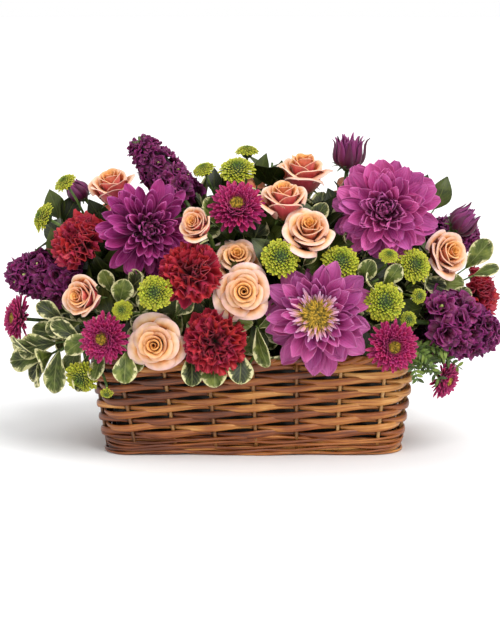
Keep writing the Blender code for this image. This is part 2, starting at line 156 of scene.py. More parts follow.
def buildPiece(name, bag, materials, nodes):
    points = np.concatenate(bag["points"]) * mm
    faces, uv, cell = [np.concatenate(bag[key]) for key in ("faces", "uv", "cell")]
    mesh = bpy.data.meshes.new(name)
    mesh.vertices.add(len(points))
    mesh.vertices.foreach_set("co", points.astype(np.float32).ravel())
    mesh.loops.add(faces.size)
    mesh.loops.foreach_set("vertex_index", faces.astype(np.int32).ravel())
    mesh.polygons.add(len(faces))
    mesh.polygons.foreach_set("loop_start", np.arange(0, faces.size, 4, dtype=np.int32))
    mesh.update(calc_edges=True)
    # one map says where on its petal or rod a face is, the other gives each sheet a square of its own
    scaled = uv.copy()
    scaled[..., 1] *= np.array(bag["lengths"])[cell][:, None]
    mesh.uv_layers.new(name="petal").uv.foreach_set("vector", scaled.astype(np.float32).ravel())
    side = math.ceil(math.sqrt(bag["cells"]))
    corner = np.stack([cell % side, cell // side], axis=-1)[:, None, :]
    squares = (corner + 0.05 + 0.90 * uv) / side
    mesh.uv_layers.new(name="OFBake").uv.foreach_set("vector", squares.astype(np.float32).ravel())
    for key in ("tone", "layer"):
        values = mesh.attributes.new(key, 'FLOAT', 'POINT')
        values.data.foreach_set("value", np.concatenate(bag[key]).astype(np.float32))
    mesh.polygons.foreach_set("material_index", np.concatenate(bag["slot"]).astype(np.int32))
    mesh.polygons.foreach_set("use_smooth", np.full(len(faces), True))
    if bag["rims"]:
        ends = np.empty(len(mesh.edges) * 2, dtype=np.int32)
        mesh.edges.foreach_get("vertices", ends)
        ends = np.sort(ends.reshape(-1, 2), axis=1).astype(np.int64)
        rims = np.sort(np.concatenate(bag["rims"]), axis=1).astype(np.int64)
        sharp = mesh.attributes.new("sharp_edge", 'BOOLEAN', 'EDGE')
        sharp.data.foreach_set("value", np.isin(ends @ [len(points), 1], rims @ [len(points), 1]))
    for material in materials:
        mesh.materials.append(material)
    piece = bpy.data.objects.new(name, mesh)
    bpy.context.scene.collection.objects.link(piece)
    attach(piece, "root")
    if nodes:
        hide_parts(*nodes)


def vec(*numbers):
    # three numbers, or one sequence of them
    return np.array(numbers if len(numbers) > 1 else numbers[0], dtype=float)


def unit(v):
    return v / (np.linalg.norm(v) + 1e-9)


def mixed(low, high, share):
    return low + (high - low) * share


def tube(bag, line, radii, sides=8, tone=0.5, layer=0.0, slot=0, flat=1.0, cyclic=False, length=1.0):
    # a rod along points in mm; flat squashes its section sideways
    line = vec(line)
    radii = np.broadcast_to(radii, (len(line),))
    if cyclic:
        ahead = np.roll(line, -1, axis=0) - np.roll(line, 1, axis=0)
    else:
        ahead = np.gradient(line, axis=0)
    ahead /= np.linalg.norm(ahead, axis=1)[:, None] + 1e-9
    guide = up if abs(ahead[:, 2]).max() < 0.95 else np.array([0.12, 0.99, 0.05])
    side = np.cross(ahead, guide)
    side /= np.linalg.norm(side, axis=1)[:, None] + 1e-9
    over = np.cross(side, ahead)
    angles = np.linspace(0.0, 2 * math.pi, sides, endpoint=False)
    ring = (side[:, None, :] * np.cos(angles)[None, :, None] * flat
            + over[:, None, :] * np.sin(angles)[None, :, None]) * radii[:, None, None]
    points = line[:, None, :] + ring
    if cyclic:
        points = np.concatenate([points, points[:1]])
    else:
        points = np.concatenate([line[:1, None, :] + ring[:1] * 0.02, points,
                                 line[-1:, None, :] + ring[-1:] * 0.02])
    addSheet(bag, points, tone, layer, slot, closed=True, length=length)


# The planting plan: the same stems, in millimetres, as the solids that they replace. Each bloom has
# its middle, its width, and the way that it faces: degrees right of the front, and up from level.
plan = [
    ("dahlia", {
        "dahlia_left": [((-105, -88, 231), 100, 12, 8)],
        "dahlia_right": [((132, -84, 249), 108, -6, 8)],
        "dahlia_front": [((63, -134, 151), 110, -6, 13)],
        "dahlia_back_left": [((-88, 98, 214), 104, -158, 32)],
        "dahlia_back_right": [((112, 108, 182), 108, 160, 22)],
    }),
    ("bud", {
        "dahlia_bud_top": [((98, -12, 302), 37, 10, 78)],
        "dahlia_bud_right": [((217, -30, 234), 33, 70, 42)],
        "dahlia_bud_left": [((-182, -12, 263), 27, -60, 45)],
    }),
    ("rose", {
        "rose_top": [((52, -28, 287), 59, 15, 78)],
        "rose_upper": [((31, -78, 263), 54, -10, 70)],
        "rose_mid_right": [((55, -107, 233), 56, 5, 44)],
        "rose_small": [((-56, -126, 241), 37, -30, 25)],
        "rose_behind": [((-16, -99, 204), 51, 0, 40)],
        "rose_centre": [((-9, -135, 175), 59, 0, 12)],
        "rose_front_left": [((-96, -134, 122), 59, -8, 5)],
        "rose_left": [((-171, -98, 164), 44, -35, 15)],
        "rose_top_left": [((-143, -50, 273), 51, -32, 66)],
        "rose_right": [((198, -62, 204), 51, 35, 20)],
    }),
    ("carnation", {
        "carnation_left": [((-176, -66, 216), 57, -40, 32)],
        "carnation_centre": [((-62, -128, 192), 61, -10, 22)],
        "carnation_front": [((-38, -128, 124), 61, 0, 6)],
        "carnation_right": [((236, -10, 154), 54, 66, 15)],
        "carnation_back": [((12, 126, 128), 62, 178, 10)],
    }),
    ("aster", {
        "aster_top": [((-16, -90, 255), 56, 0, 35)],
        "aster_left": [((-148, -128, 127), 49, -15, 5)],
        "aster_far_left": [((-242, -50, 135), 47, -60, 10)],
        "aster_right": [((138, -134, 120), 51, 10, 5)],
        "aster_low_right": [((195, -88, 78), 40, 50, -15)],
        "aster_spray_back": [((-118, 124, 126), 48, -155, 8), ((-30, 122, 192), 50, -175, 28),
                             ((-60, 132, 138), 46, -175, 10)],
    }),
    ("pom", {
        "pom_spray_far_left": [((-214, -45, 239), 29, -65, 25), ((-191, -46, 274), 23, -50, 50)],
        "pom_spray_top": [((-16, -50, 287), 36, -5, 55), ((-50, -42, 287), 22, -40, 60),
                          ((-6, -22, 304), 23, 0, 80)],
        "pom_spray_left": [((-96, -142, 175), 33, -10, 12), ((-129, -125, 155), 20, -15, 20)],
        "pom_spray_right": [((87, -110, 201), 36, 5, 35), ((27, -122, 207), 36, 5, 25),
                            ((134, -115, 208), 18, 5, 50)],
        "pom_spray_far_right": [((161, -98, 196), 33, 20, 22), ((130, -124, 163), 37, 5, 12),
                                ((165, -110, 167), 15, 20, 10), ((154, -118, 145), 16, 10, 10)],
        "pom_spray_low_left": [((-172, -106, 84), 33, -20, -20), ((-145, -132, 73), 13, -5, -35)],
        "pom_spray_back": [((80, 130, 114), 35, 165, 5), ((46, 120, 172), 34, 170, 25),
                           ((148, 108, 120), 32, 148, 5)],
    }),
    ("rose", {
        "spray_rose_back_left": [((-168, 84, 168), 54, -140, 22), ((-150, 60, 232), 50, -142, 42)],
        "spray_rose_back_right": [((44, 94, 224), 56, 172, 38), ((-12, 78, 258), 52, -175, 50),
                                  ((110, 62, 256), 50, 155, 50)],
    }),
]
heads = {name: (kind, blooms) for kind, group in plan for name, blooms in group.items()}
# the foot and tip of each spike, and its width
stocks = {
    "stock_top": ((-72, -44, 258), (-112, -18, 306), 50),
    "stock_left": ((-182, -40, 172), (-238, -26, 178), 62),
    "stock_right": ((180, -76, 134), (236, -60, 122), 74),
    "stock_back": ((176, 44, 190), (222, 40, 214), 58),
}
# where a stem passes over the rim, and where one enters the foam away from its own line
overTheRim = {"pom_spray_low_left": (-166, -90, 124), "aster_low_right": (166, -78, 116)}
entries = {"rose_small": (-45, -36)}
# neckDepth: how far behind a bloom's middle its stem ends, in half widths
stemRadius = {"dahlia": 3.2, "bud": 2.2, "rose": 2.3, "carnation": 2.2, "aster": 1.9, "pom": 1.7}
neckDepth = {"dahlia": 0.42, "bud": 1.05, "rose": 0.80, "carnation": 1.15, "aster": 0.40, "pom": 0.62}
foamTop, foamReach, stemDepth = 90.0, (124.0, 66.0), 26.0
fanHeight = 210.0                                  # above the foam, where the stems stand closest together


def facing(azimuth, elevation):
    # degrees right of the front, and up from level
    turn, lift = math.radians(azimuth), math.radians(elevation)
    return vec(math.cos(lift) * math.sin(turn), -math.cos(lift) * math.cos(turn), math.sin(lift))


def curve(start, startPull, end, endPull, steps):
    # points from start to end, which leaves along the one pull and arrives along the other
    shares = [i / steps for i in range(steps + 1)]
    return [start * (2 * s**3 - 3 * s**2 + 1) + startPull * (s**3 - 2 * s**2 + s)
            + end * (3 * s**2 - 2 * s**3) + endPull * (s**3 - s**2) for s in shares]


def foamEntry(end):
    # a stem goes into the foam under its bloom, drawn in to the middle, more so if the bloom is high
    spread = 0.74 - 0.26 * (end[2] - foamTop) / fanHeight
    x, y = np.clip([end[0] * spread, end[1] * spread * 0.86], np.negative(foamReach), foamReach)
    return vec(x, y, foamTop)


def stemLine(end, endWay, over=None, root=None):
    # from inside the foam up to end, which it reaches along endWay
    end = vec(end)
    entry = vec(*root, foamTop) if root else foamEntry(end)
    goal = vec(over) if over else end
    lean = unit(unit(goal - entry) * 0.6 + up)
    foot, collar = entry - lean * stemDepth, entry + lean * 6.0
    stops = [(collar, lean)]
    if over:
        stops.append((goal, unit(end - collar)))
    stops.append((end, endWay))
    line = [foot, collar]
    for (start, startWay), (stop, stopWay) in zip(stops, stops[1:]):
        span = np.linalg.norm(stop - start)
        line += curve(start, startWay * span, stop, stopWay * span, 8)[1:]
    return np.array(line)


def headMatrix(place, way, roll=0.0):
    # +Z of a flower's own axes along way, standing at place
    turn = Vector(way).to_track_quat('Z', 'Y').to_matrix() @ Matrix.Rotation(roll, 3, 'Z')
    matrix = np.eye(4)
    matrix[:3, :3] = np.array(turn)
    matrix[:3, 3] = place
    return matrix


# Petals

def petal(length, width, lifts, outline, cup=0.0, ruffle=0.0, waves=2.5, rows=8, columns=6, phase=0.0,
          notch=0.0, teeth=0.0, twist=0.0, blunt=0.0, start=(0.0, 0.0)):
    # One petal that grows out along +X from start (out, up). lifts: its slope in degrees at evenly
    # spaced places along it; outline: its width there, as shares of width. cup lifts its sides.
    s = 1 - (1 - np.linspace(0.0, 1.0, rows + 1)) ** (1.5 if blunt else 1.0)
    slope = np.radians(np.interp(s, np.linspace(0, 1, len(lifts)), lifts))
    wide = np.interp(s, np.linspace(0, 1, len(outline)), outline) * width / 2
    if blunt:
        # a round end from this share of the length on
        wide = wide * np.sqrt(1 - 0.995 * np.clip((s - blunt) / (1 - blunt), 0, 1) ** 2)
    step = np.diff(s) * length
    middle = (slope[1:] + slope[:-1]) / 2
    out = start[0] + np.concatenate([[0.0], np.cumsum(np.cos(middle) * step)])
    rise = start[1] + np.concatenate([[0.0], np.cumsum(np.sin(middle) * step)])
    along, across = np.meshgrid(s, np.linspace(-1.0, 1.0, columns + 1), indexing="ij")
    cups = np.atleast_1d(cup)
    cups = np.interp(s, np.linspace(0, 1, len(cups)), cups)[:, None]
    angle = cups * across
    lateral = wide[:, None] * np.where(np.abs(angle) > 1e-3, np.sin(angle) / (cups + 1e-9), across)
    lift = wide[:, None] * np.where(np.abs(angle) > 1e-3, (1 - np.cos(angle)) / (cups + 1e-9), 0.0)
    lift = lift + ruffle * np.sin(across * waves * math.pi + phase) * along ** 1.5
    lift = lift + twist * across * wide[:, None] * along
    reach = -notch * length * (1 - np.abs(across)) ** 2 * along ** 6
    reach = reach + teeth * length * np.where(np.arange(columns + 1) % 2, 1.0, -1.0)[None, :] * along ** 8
    reach = reach - 0.10 * length * across ** 2 * along ** 3 * (1 if notch or teeth else 0)
    nx, nz = -np.sin(slope)[:, None], np.cos(slope)[:, None]
    tx, tz = np.cos(slope)[:, None], np.sin(slope)[:, None]
    x = out[:, None] + nx * lift + tx * reach
    z = rise[:, None] + nz * lift + tz * reach
    return np.stack([x, lateral, z], axis=-1)


def spin(points, angle):
    # round the flower's axis
    c, s = math.cos(angle), math.sin(angle)
    turned = points.copy()
    turned[..., 0] = points[..., 0] * c - points[..., 1] * s
    turned[..., 1] = points[..., 0] * s + points[..., 1] * c
    return turned


def addPetal(bag, length, width, lifts, outline, turn=0.0, tone=0.5, layer=0.0, slot=0, thick=0.35, **shape):
    addSheet(bag, spin(petal(length, width, lifts, outline, **shape), turn), tone, layer, slot, thick=thick)


def addTurned(bag, half, profile, sides):
    # a round solid on the axis, from its (height, radius) pairs as shares of half
    tube(bag, [[0, 0, half * z] for z, _ in profile], [half * r for _, r in profile], sides=sides)


# Flower heads. Each is built round +Z, in mm, into three bags: petals, green parts and the heart.

dahliaForms = {
    # incurved spoon petals with round ends, in loose rows
    "ball": {"petals": 118, "length": (0.92, 0.30), "width": (0.37, 0.14), "lift": (2.0, 78.0), "curl": 22.0,
             "outline": (0.40, 0.64, 0.86, 1.0, 1.0, 1.0), "cup": (1.8, 1.6, 1.3, 0.9), "blunt": 0.58,
             "heart": 34, "reach": 0.44, "start": (0.16, 0.02)},
    # broader petals with rounded shoulders and a small point
    "formal": {"petals": 124, "length": (0.90, 0.32), "width": (0.42, 0.14), "lift": (-6.0, 76.0),
               "curl": 16.0,
               "outline": (0.30, 0.56, 0.82, 0.98, 1.0, 0.99, 0.90, 0.30), "cup": (1.4, 1.2, 0.9, 0.8),
               "blunt": 0.0, "heart": 40, "reach": 0.40, "start": (0.16, 0.02)},
    # open to its disc, long broad petals
    "open": {"petals": 64, "length": (0.90, 0.44), "width": (0.46, 0.22), "lift": (-12.0, 30.0), "curl": 8.0,
             "outline": (0.28, 0.52, 0.80, 0.98, 1.0, 0.96, 0.76, 0.12), "cup": (1.3, 1.0, 0.8, 0.8),
             "blunt": 0.0, "heart": 0, "reach": 0.0, "start": (0.16, 0.21)},
}


def addDahlia(bags, width, rng, form="ball"):
    shape = dahliaForms[form]
    half = width / 2
    count = shape["petals"]
    for i in range(count):
        t = (i / (count - 1)) ** 1.12              # 0 at the outer back, 1 at the heart
        length = half * mixed(*shape["length"], t ** 1.5) * rng.uniform(0.84, 1.04)
        wide = half * mixed(*shape["width"], t ** 1.1) * rng.uniform(0.86, 1.14)
        lift = mixed(*shape["lift"], t ** 1.05) + rng.uniform(-12, 12)
        tuck = mixed(0.0, 26.0, t)                 # the heart petals lean back over the middle
        curl = shape["curl"] * rng.uniform(0.3, 1.5)
        lifts = (lift + 30 * (1 - t), lift + 6, lift - 2 + tuck * t, lift + curl + tuck * 1.6 * t)
        fold = mixed(0.9, 1.7, t) * rng.uniform(0.7, 1.25)
        addPetal(bags["petals"], length, wide, lifts, shape["outline"], cup=[c * fold for c in shape["cup"]],
                 rows=12, columns=8, twist=rng.uniform(-0.55, 0.55), blunt=shape["blunt"],
                 ruffle=half * 0.018, waves=1.5, phase=rng.uniform(0, 6.3),
                 start=(half * mixed(*shape["start"], t), half * mixed(-0.28, 0.06, t)),
                 turn=i * goldenAngle + rng.uniform(-0.24, 0.24), tone=rng.random(), layer=t)
    for i in range(shape["heart"]):
        # narrow rolled petals still closed over the heart
        t = (i + 0.5) / shape["heart"]
        lifts = (mixed(62, 84, t), mixed(60, 88, t), mixed(74, 98, t), mixed(100, 120, t))
        addPetal(bags["petals"], half * mixed(shape["reach"], 0.26, t), half * mixed(0.13, 0.08, t), lifts,
                 (0.6, 1.0, 1.0, 0.8, 0.1), cup=2.4, rows=7, columns=4,
                 start=(half * mixed(0.20, 0.03, t), half * 0.02), turn=i * goldenAngle, tone=rng.random(),
                 layer=1.0)
    if form == "open":
        addOpenCentre(bags, half, rng)
    addSepals(bags["green"], half, rng, count=7, length=0.34, width=0.22, base=-0.36, lift=4.0)


def addOpenCentre(bags, half, rng):
    # narrow pale petaloids standing round a domed disc of florets, its outer ones long and yellow
    for i in range(56):
        t = i / 55
        lift = mixed(14, 52, t) + rng.uniform(-10, 10)
        addPetal(bags["petals"], half * rng.uniform(0.18, 0.40), half * rng.uniform(0.045, 0.08),
                 (lift + 20, lift, lift, lift + rng.uniform(-30, 50)), (0.6, 0.9, 1.0, 0.8, 0.2), cup=1.2,
                 rows=7, columns=4, twist=rng.uniform(-0.6, 0.6),
                 start=(half * mixed(0.22, 0.15, t), half * 0.10), turn=i * goldenAngle,
                 tone=rng.random(), layer=-0.6, slot=2, thick=0.3)
    for i in range(240):
        t = math.sqrt((i + 0.5) / 240)
        base = vec(half * 0.17 * t, 0.0, half * (0.15 - 0.05 * t * t))
        tall = half * mixed(0.03, 0.15, t ** 2) * rng.uniform(0.7, 1.3)
        line = [base, base + [tall * 0.4 * t, 0, tall * 0.6], base + [tall * 0.8 * t, 0, tall]]
        radii = [half * 0.012, half * 0.018, half * 0.008]
        addRod(bags["heart"], line, radii, i * goldenAngle, rng.random(), t)


def addRod(bag, line, radii, angle, tone, layer):
    first = len(bag["points"])
    tube(bag, line, radii, sides=5, tone=tone, layer=layer)
    turnBag(bag, first, np.array(Matrix.Rotation(angle, 4, 'Z')))


roseShape = {"petals": 20, "thick": 0.4, "outline": (0.50, 0.80, 1.0, 1.0, 0.96, 0.86)}


def addRose(bags, width, rng, openness=1.0):
    # Cupped petals wrapped round the axis in a spiral, their lips rolled outwards. A rose that has
    # opened less keeps its outer petals upright, so its outside shows.
    half = width / 2
    count = roseShape["petals"]
    rows, columns = 14, 16
    s = np.linspace(0.0, 1.0, rows + 1)[:, None]
    v = np.linspace(-1.0, 1.0, columns + 1)[None, :]
    base = -0.80 * half
    for i in range(count):
        t = i / (count - 1)                          # 0 at the heart, 1 outside
        reach = 0.05 + 0.80 * t ** 1.15
        topRadius = half * reach * mixed(0.86, 1.0, openness)
        rootRadius = half * mixed(0.03, 0.12, t)
        topHeight = half * (0.46 + 0.10 * math.sin(min(1.0, t * 1.7) * math.pi)
                            - mixed(0.10, 0.62, openness) * t ** 2.0)
        lip = half * (0.02 + 0.15 * t ** 1.2) * mixed(0.8, 1.25, openness) * rng.uniform(0.75, 1.25)
        drop = half * mixed(0.08, 0.16, t) * mixed(0.8, 1.4, openness) * rng.uniform(0.7, 1.3)
        wrap = mixed(2.4, 1.05, min(1.0, t * 1.2) ** 0.7) * rng.uniform(0.94, 1.08)
        bend = mixed(0.86, 0.70, t)
        roll = np.clip((s - bend) / (1 - bend), 0, 1)
        swell = s ** mixed(0.9, mixed(0.40, 0.60, openness), t)
        # the rim is round: its sides stop lower than its middle, and curl in to the flower
        side = np.abs(v) ** 2.4
        shorten = 1 - mixed(0.16, 0.40, t) * side * s ** 2
        radius = (rootRadius + (topRadius - rootRadius) * swell) * (1 - 0.10 * side * s * t)
        radius = radius + lip * roll ** 1.7 * (1 - 0.5 * side)
        height = base + (topHeight - base) * s ** 1.02 * shorten - drop * roll ** 2.0 * (1 - 0.4 * side)
        wave = half * 0.020 * (0.3 + t) * np.sin(v * rng.uniform(2.5, 5) + rng.uniform(0, 6.3)) * s ** 3
        height = height + half * 0.018 * t * np.sin(v * rng.uniform(5, 9) + rng.uniform(0, 6.3)) * s ** 5
        radius = radius * (1 + 0.09 * v * (1 - 0.3 * t)) + wave
        narrow = np.interp(s, np.linspace(0, 1, 6), roseShape["outline"])
        angle = i * goldenAngle + rng.uniform(-0.12, 0.12) + v * wrap * narrow
        sheet = np.stack([radius * np.cos(angle), radius * np.sin(angle), height + 0 * angle], axis=-1)
        addSheet(bags["petals"], sheet, rng.random(), 1 - t, thick=roseShape["thick"])
    addSepals(bags["green"], half, rng, count=5, length=0.62, width=0.22, base=-0.82, lift=-20.0)
    hip = [(-0.98, 0.05), (-0.92, 0.14), (-0.84, 0.19), (-0.74, 0.17), (-0.68, 0.05)]
    addTurned(bags["green"], half, hip, 10)


def addSepals(bag, half, rng, count, length, width, base, lift, spread=0.08):
    for i in range(count):
        addPetal(bag, half * length * rng.uniform(0.85, 1.1), half * width, (62, 30, lift, lift - 14),
                 (0.7, 1.0, 0.8, 0.45, 0.05), cup=0.7, rows=5, columns=2, start=(half * spread, half * base),
                 turn=i * 2 * math.pi / count + rng.uniform(-0.2, 0.2), tone=rng.random(), layer=0.5)


def addCarnation(bags, width, rng):
    # broad fringed petals, gathered so hard that their ends fold into deep ruffles
    half = width / 2
    count = 36
    for i in range(count):
        t = (i / (count - 1)) ** 0.85                # 0 outside, 1 at the heart
        base = -0.42 * half
        tilt = mixed(96.0, 8.0, t) + rng.uniform(-7, 7)     # degrees from the axis to the petal's end
        reach = half * mixed(1.0, 0.62, t ** 2) * rng.uniform(0.92, 1.06)
        tipOut = reach * math.sin(math.radians(tilt))
        tipUp = reach * math.cos(math.radians(tilt)) * 0.80 - 0.05 * half
        length = math.hypot(tipUp - base, tipOut)
        direction = math.degrees(math.atan2(tipUp - base, tipOut))
        flop = rng.uniform(-34, 26)
        lifts = (mixed(direction, 88, 0.5), direction + 12, direction - 6, direction - 12,
                 direction - 16 + flop)
        addPetal(bags["petals"], length, half * rng.uniform(0.80, 1.05), lifts,
                 (0.10, 0.16, 0.36, 0.74, 0.96, 1.0), cup=0.3, ruffle=half * rng.uniform(0.13, 0.20),
                 waves=rng.uniform(2.0, 3.4), rows=12, columns=24, phase=rng.uniform(0, 6.3), teeth=0.018,
                 twist=rng.uniform(-0.4, 0.4), start=(half * 0.05, base),
                 turn=i * goldenAngle + rng.uniform(-0.25, 0.25), tone=rng.random(), layer=t)
    calyx = [(-1.22, 0.10), (-1.16, 0.20), (-0.85, 0.235), (-0.55, 0.22), (-0.40, 0.20), (-0.38, 0.02)]
    addTurned(bags["green"], half, calyx, 10)


def addPom(bags, width, rng):
    # short spoon florets all over a cushion: open and flat round the rim, closed knobs in the middle
    half = width / 2
    count = 170 if width > 18 else 80
    for i in range(count):
        t = math.sqrt((i + 0.5) / count)              # 0 at the heart, 1 at the rim
        tilt = mixed(0.04, 1.75, t)                    # angle from the axis over the dome
        length = half * mixed(0.14, 0.44, t ** 2.4) * rng.uniform(0.75, 1.2)
        lift = 90 - math.degrees(tilt) * 0.98 + rng.uniform(-7, 7)
        dome = half * mixed(0.52, 0.62, t)
        start = (dome * math.sin(tilt), dome * math.cos(tilt) * 0.66 - half * 0.02)
        addPetal(bags["petals"], length, half * mixed(0.10, 0.19, t) * rng.uniform(0.85, 1.15),
                 (lift + 6, lift + 4, lift, lift - mixed(60, 16, t)), (0.55, 0.70, 0.92, 1.0, 0.9),
                 cup=(2.4, 2.2, 1.5, 0.9), blunt=0.7, rows=6, columns=4, start=start,
                 turn=i * goldenAngle + rng.uniform(-0.06, 0.06), tone=rng.random(), layer=1 - t, thick=0.3)
    cushion = [(-0.62, 0.10), (-0.50, 0.34), (-0.16, 0.58), (0.10, 0.56), (0.24, 0.38), (0.33, 0.02)]
    addTurned(bags["heart"], half, cushion, 14)


def addAster(bags, width, rng):
    half = width / 2
    count = 200
    for i in range(count):
        t = (i / (count - 1)) ** 0.9                   # 0 outside, 1 next to the disc
        length = half * mixed(0.80, 0.27, t ** 1.25) * rng.uniform(0.90, 1.06)
        lift = mixed(-8.0, 78.0, t) + rng.uniform(-8, 8)
        addPetal(bags["petals"], length, half * mixed(0.175, 0.13, t), (lift + 26, lift + 8, lift, lift + 12),
                 (0.55, 0.75, 0.95, 1.0, 1.0), cup=rng.uniform(0.8, 1.3), rows=7, columns=4,
                 twist=rng.uniform(-0.4, 0.4), blunt=0.72,
                 start=(half * mixed(0.28, 0.24, t), half * mixed(-0.22, 0.02, t)),
                 turn=i * goldenAngle + rng.uniform(-0.08, 0.08), tone=rng.random(), layer=t, thick=0.3)
    for i in range(130):
        t = math.sqrt((i + 0.5) / 130)
        base = vec(half * 0.23 * t, 0.0, half * (0.08 - 0.04 * t * t))
        tall = half * mixed(0.16, 0.20, t)
        line = [base, base + [0.02 * half * t, 0, tall * 0.7], base + [0.035 * half * t, 0, tall]]
        radii = [half * 0.016, half * 0.024, half * 0.012]
        addRod(bags["heart"], line, radii, i * goldenAngle, rng.random(), t)
    addSepals(bags["green"], half, rng, count=16, length=0.62, width=0.13, base=-0.36, lift=-4.0, spread=0.10)


def addBud(bags, width, rng, openness=0.5):
    # broad pointed petals wrapped over a round dahlia bud, their tips curling off it as it opens
    half = width / 2
    count = 46
    for i in range(count):
        t = i / (count - 1)                            # 0 outside, 1 inside
        length = half * mixed(2.05, 1.35, t) * rng.uniform(0.88, 1.08)
        close = mixed(132, 92, openness) + rng.uniform(-10, 10)
        flare = mixed(-30, -52, openness) * (1 - t) * rng.uniform(0.2, 1.4)
        lifts = (mixed(4, 76, t), mixed(42, 84, t), mixed(88, 92, t), close, close + flare)
        addPetal(bags["petals"], length, half * mixed(0.62, 0.30, t), lifts,
                 (0.45, 0.86, 1.0, 0.86, 0.55, 0.05), cup=(1.1, 1.0, 1.2, 1.8), rows=9, columns=6,
                 start=(half * mixed(0.22, 0.04, t), half * -0.85),
                 turn=i * goldenAngle, tone=rng.random(), layer=1 - t, thick=0.4)
    addSepals(bags["green"], half, rng, count=7, length=0.80, width=0.50, base=-1.02, lift=36.0, spread=0.16)
    addSepals(bags["green"], half, rng, count=6, length=0.90, width=0.26, base=-1.02, lift=-14.0, spread=0.12)


def addStockFloret(bag, size, rng):
    # a double floret: notched, wavy petals in a loose rosette
    half = size / 2
    for i in range(11):
        t = i / 10                                     # 0 outside, 1 inside
        lift = mixed(-8.0, 70.0, t) + rng.uniform(-16, 16)
        addPetal(bag, half * mixed(1.0, 0.62, t), half * mixed(1.10, 0.66, t),
                 (74, lift + 24, lift, lift - 24 + rng.uniform(-26, 20)), (0.2, 0.5, 0.85, 1.0, 0.94, 0.72),
                 cup=0.7, ruffle=half * rng.uniform(0.07, 0.13), waves=1.8, rows=8, columns=10,
                 phase=rng.uniform(0, 6.3), notch=0.10, twist=rng.uniform(-0.4, 0.4),
                 start=(half * 0.04, -half * 0.25), turn=i * goldenAngle, tone=rng.random(), layer=t)


leafShapes = {
    "pittosporum": {"outline": (0.08, 0.28, 0.54, 0.78, 0.94, 1.0, 1.0, 1.0), "grid": (11, 8), "wavy": 0.06,
                    "blunt": 0.56},
    "salal": {"outline": (0.10, 0.52, 0.86, 1.0, 0.97, 0.84, 0.62, 0.34, 0.03), "grid": (9, 6), "wavy": 0.02,
              "blunt": 0.0},
    "fine": {"outline": (0.15, 0.60, 0.95, 1.0, 0.85, 0.55, 0.03), "grid": (6, 2), "wavy": 0.0, "blunt": 0.0},
}
leafFold = 0.175                                   # rise of the blade's edges, as a share of its half width


def addLeaf(bag, root, tip, width, rng, kind, roll, outward, bend=20.0):
    # a blade from root to tip in mm, folded a little along its rib; outward is the way its face looks
    shape = leafShapes[kind]
    root, tip = vec(root), vec(tip)
    length = np.linalg.norm(tip - root)
    way = (tip - root) / length
    side = unit(np.cross(unit(vec(outward)), way))
    face = np.cross(way, side)
    side = side * math.cos(roll) + face * math.sin(roll)
    face = np.cross(way, side)
    rows, columns = shape["grid"]
    blade = petal(length, width, (bend, bend * 0.4, -bend * 0.4, -bend), shape["outline"],
                  ruffle=shape["wavy"] * width, waves=rng.uniform(2.0, 3.2), rows=rows, columns=columns,
                  phase=rng.uniform(0, 6.3), blunt=shape["blunt"])
    blade[..., 2] += leafFold * np.abs(blade[..., 1]) * np.abs(np.linspace(-1, 1, columns + 1))[None, :]
    turned = root + blade[..., :1] * way + blade[..., 1:2] * side + blade[..., 2:] * face
    addSheet(bag, turned, rng.random(), rng.random(), thick=0.4)


# Finishes

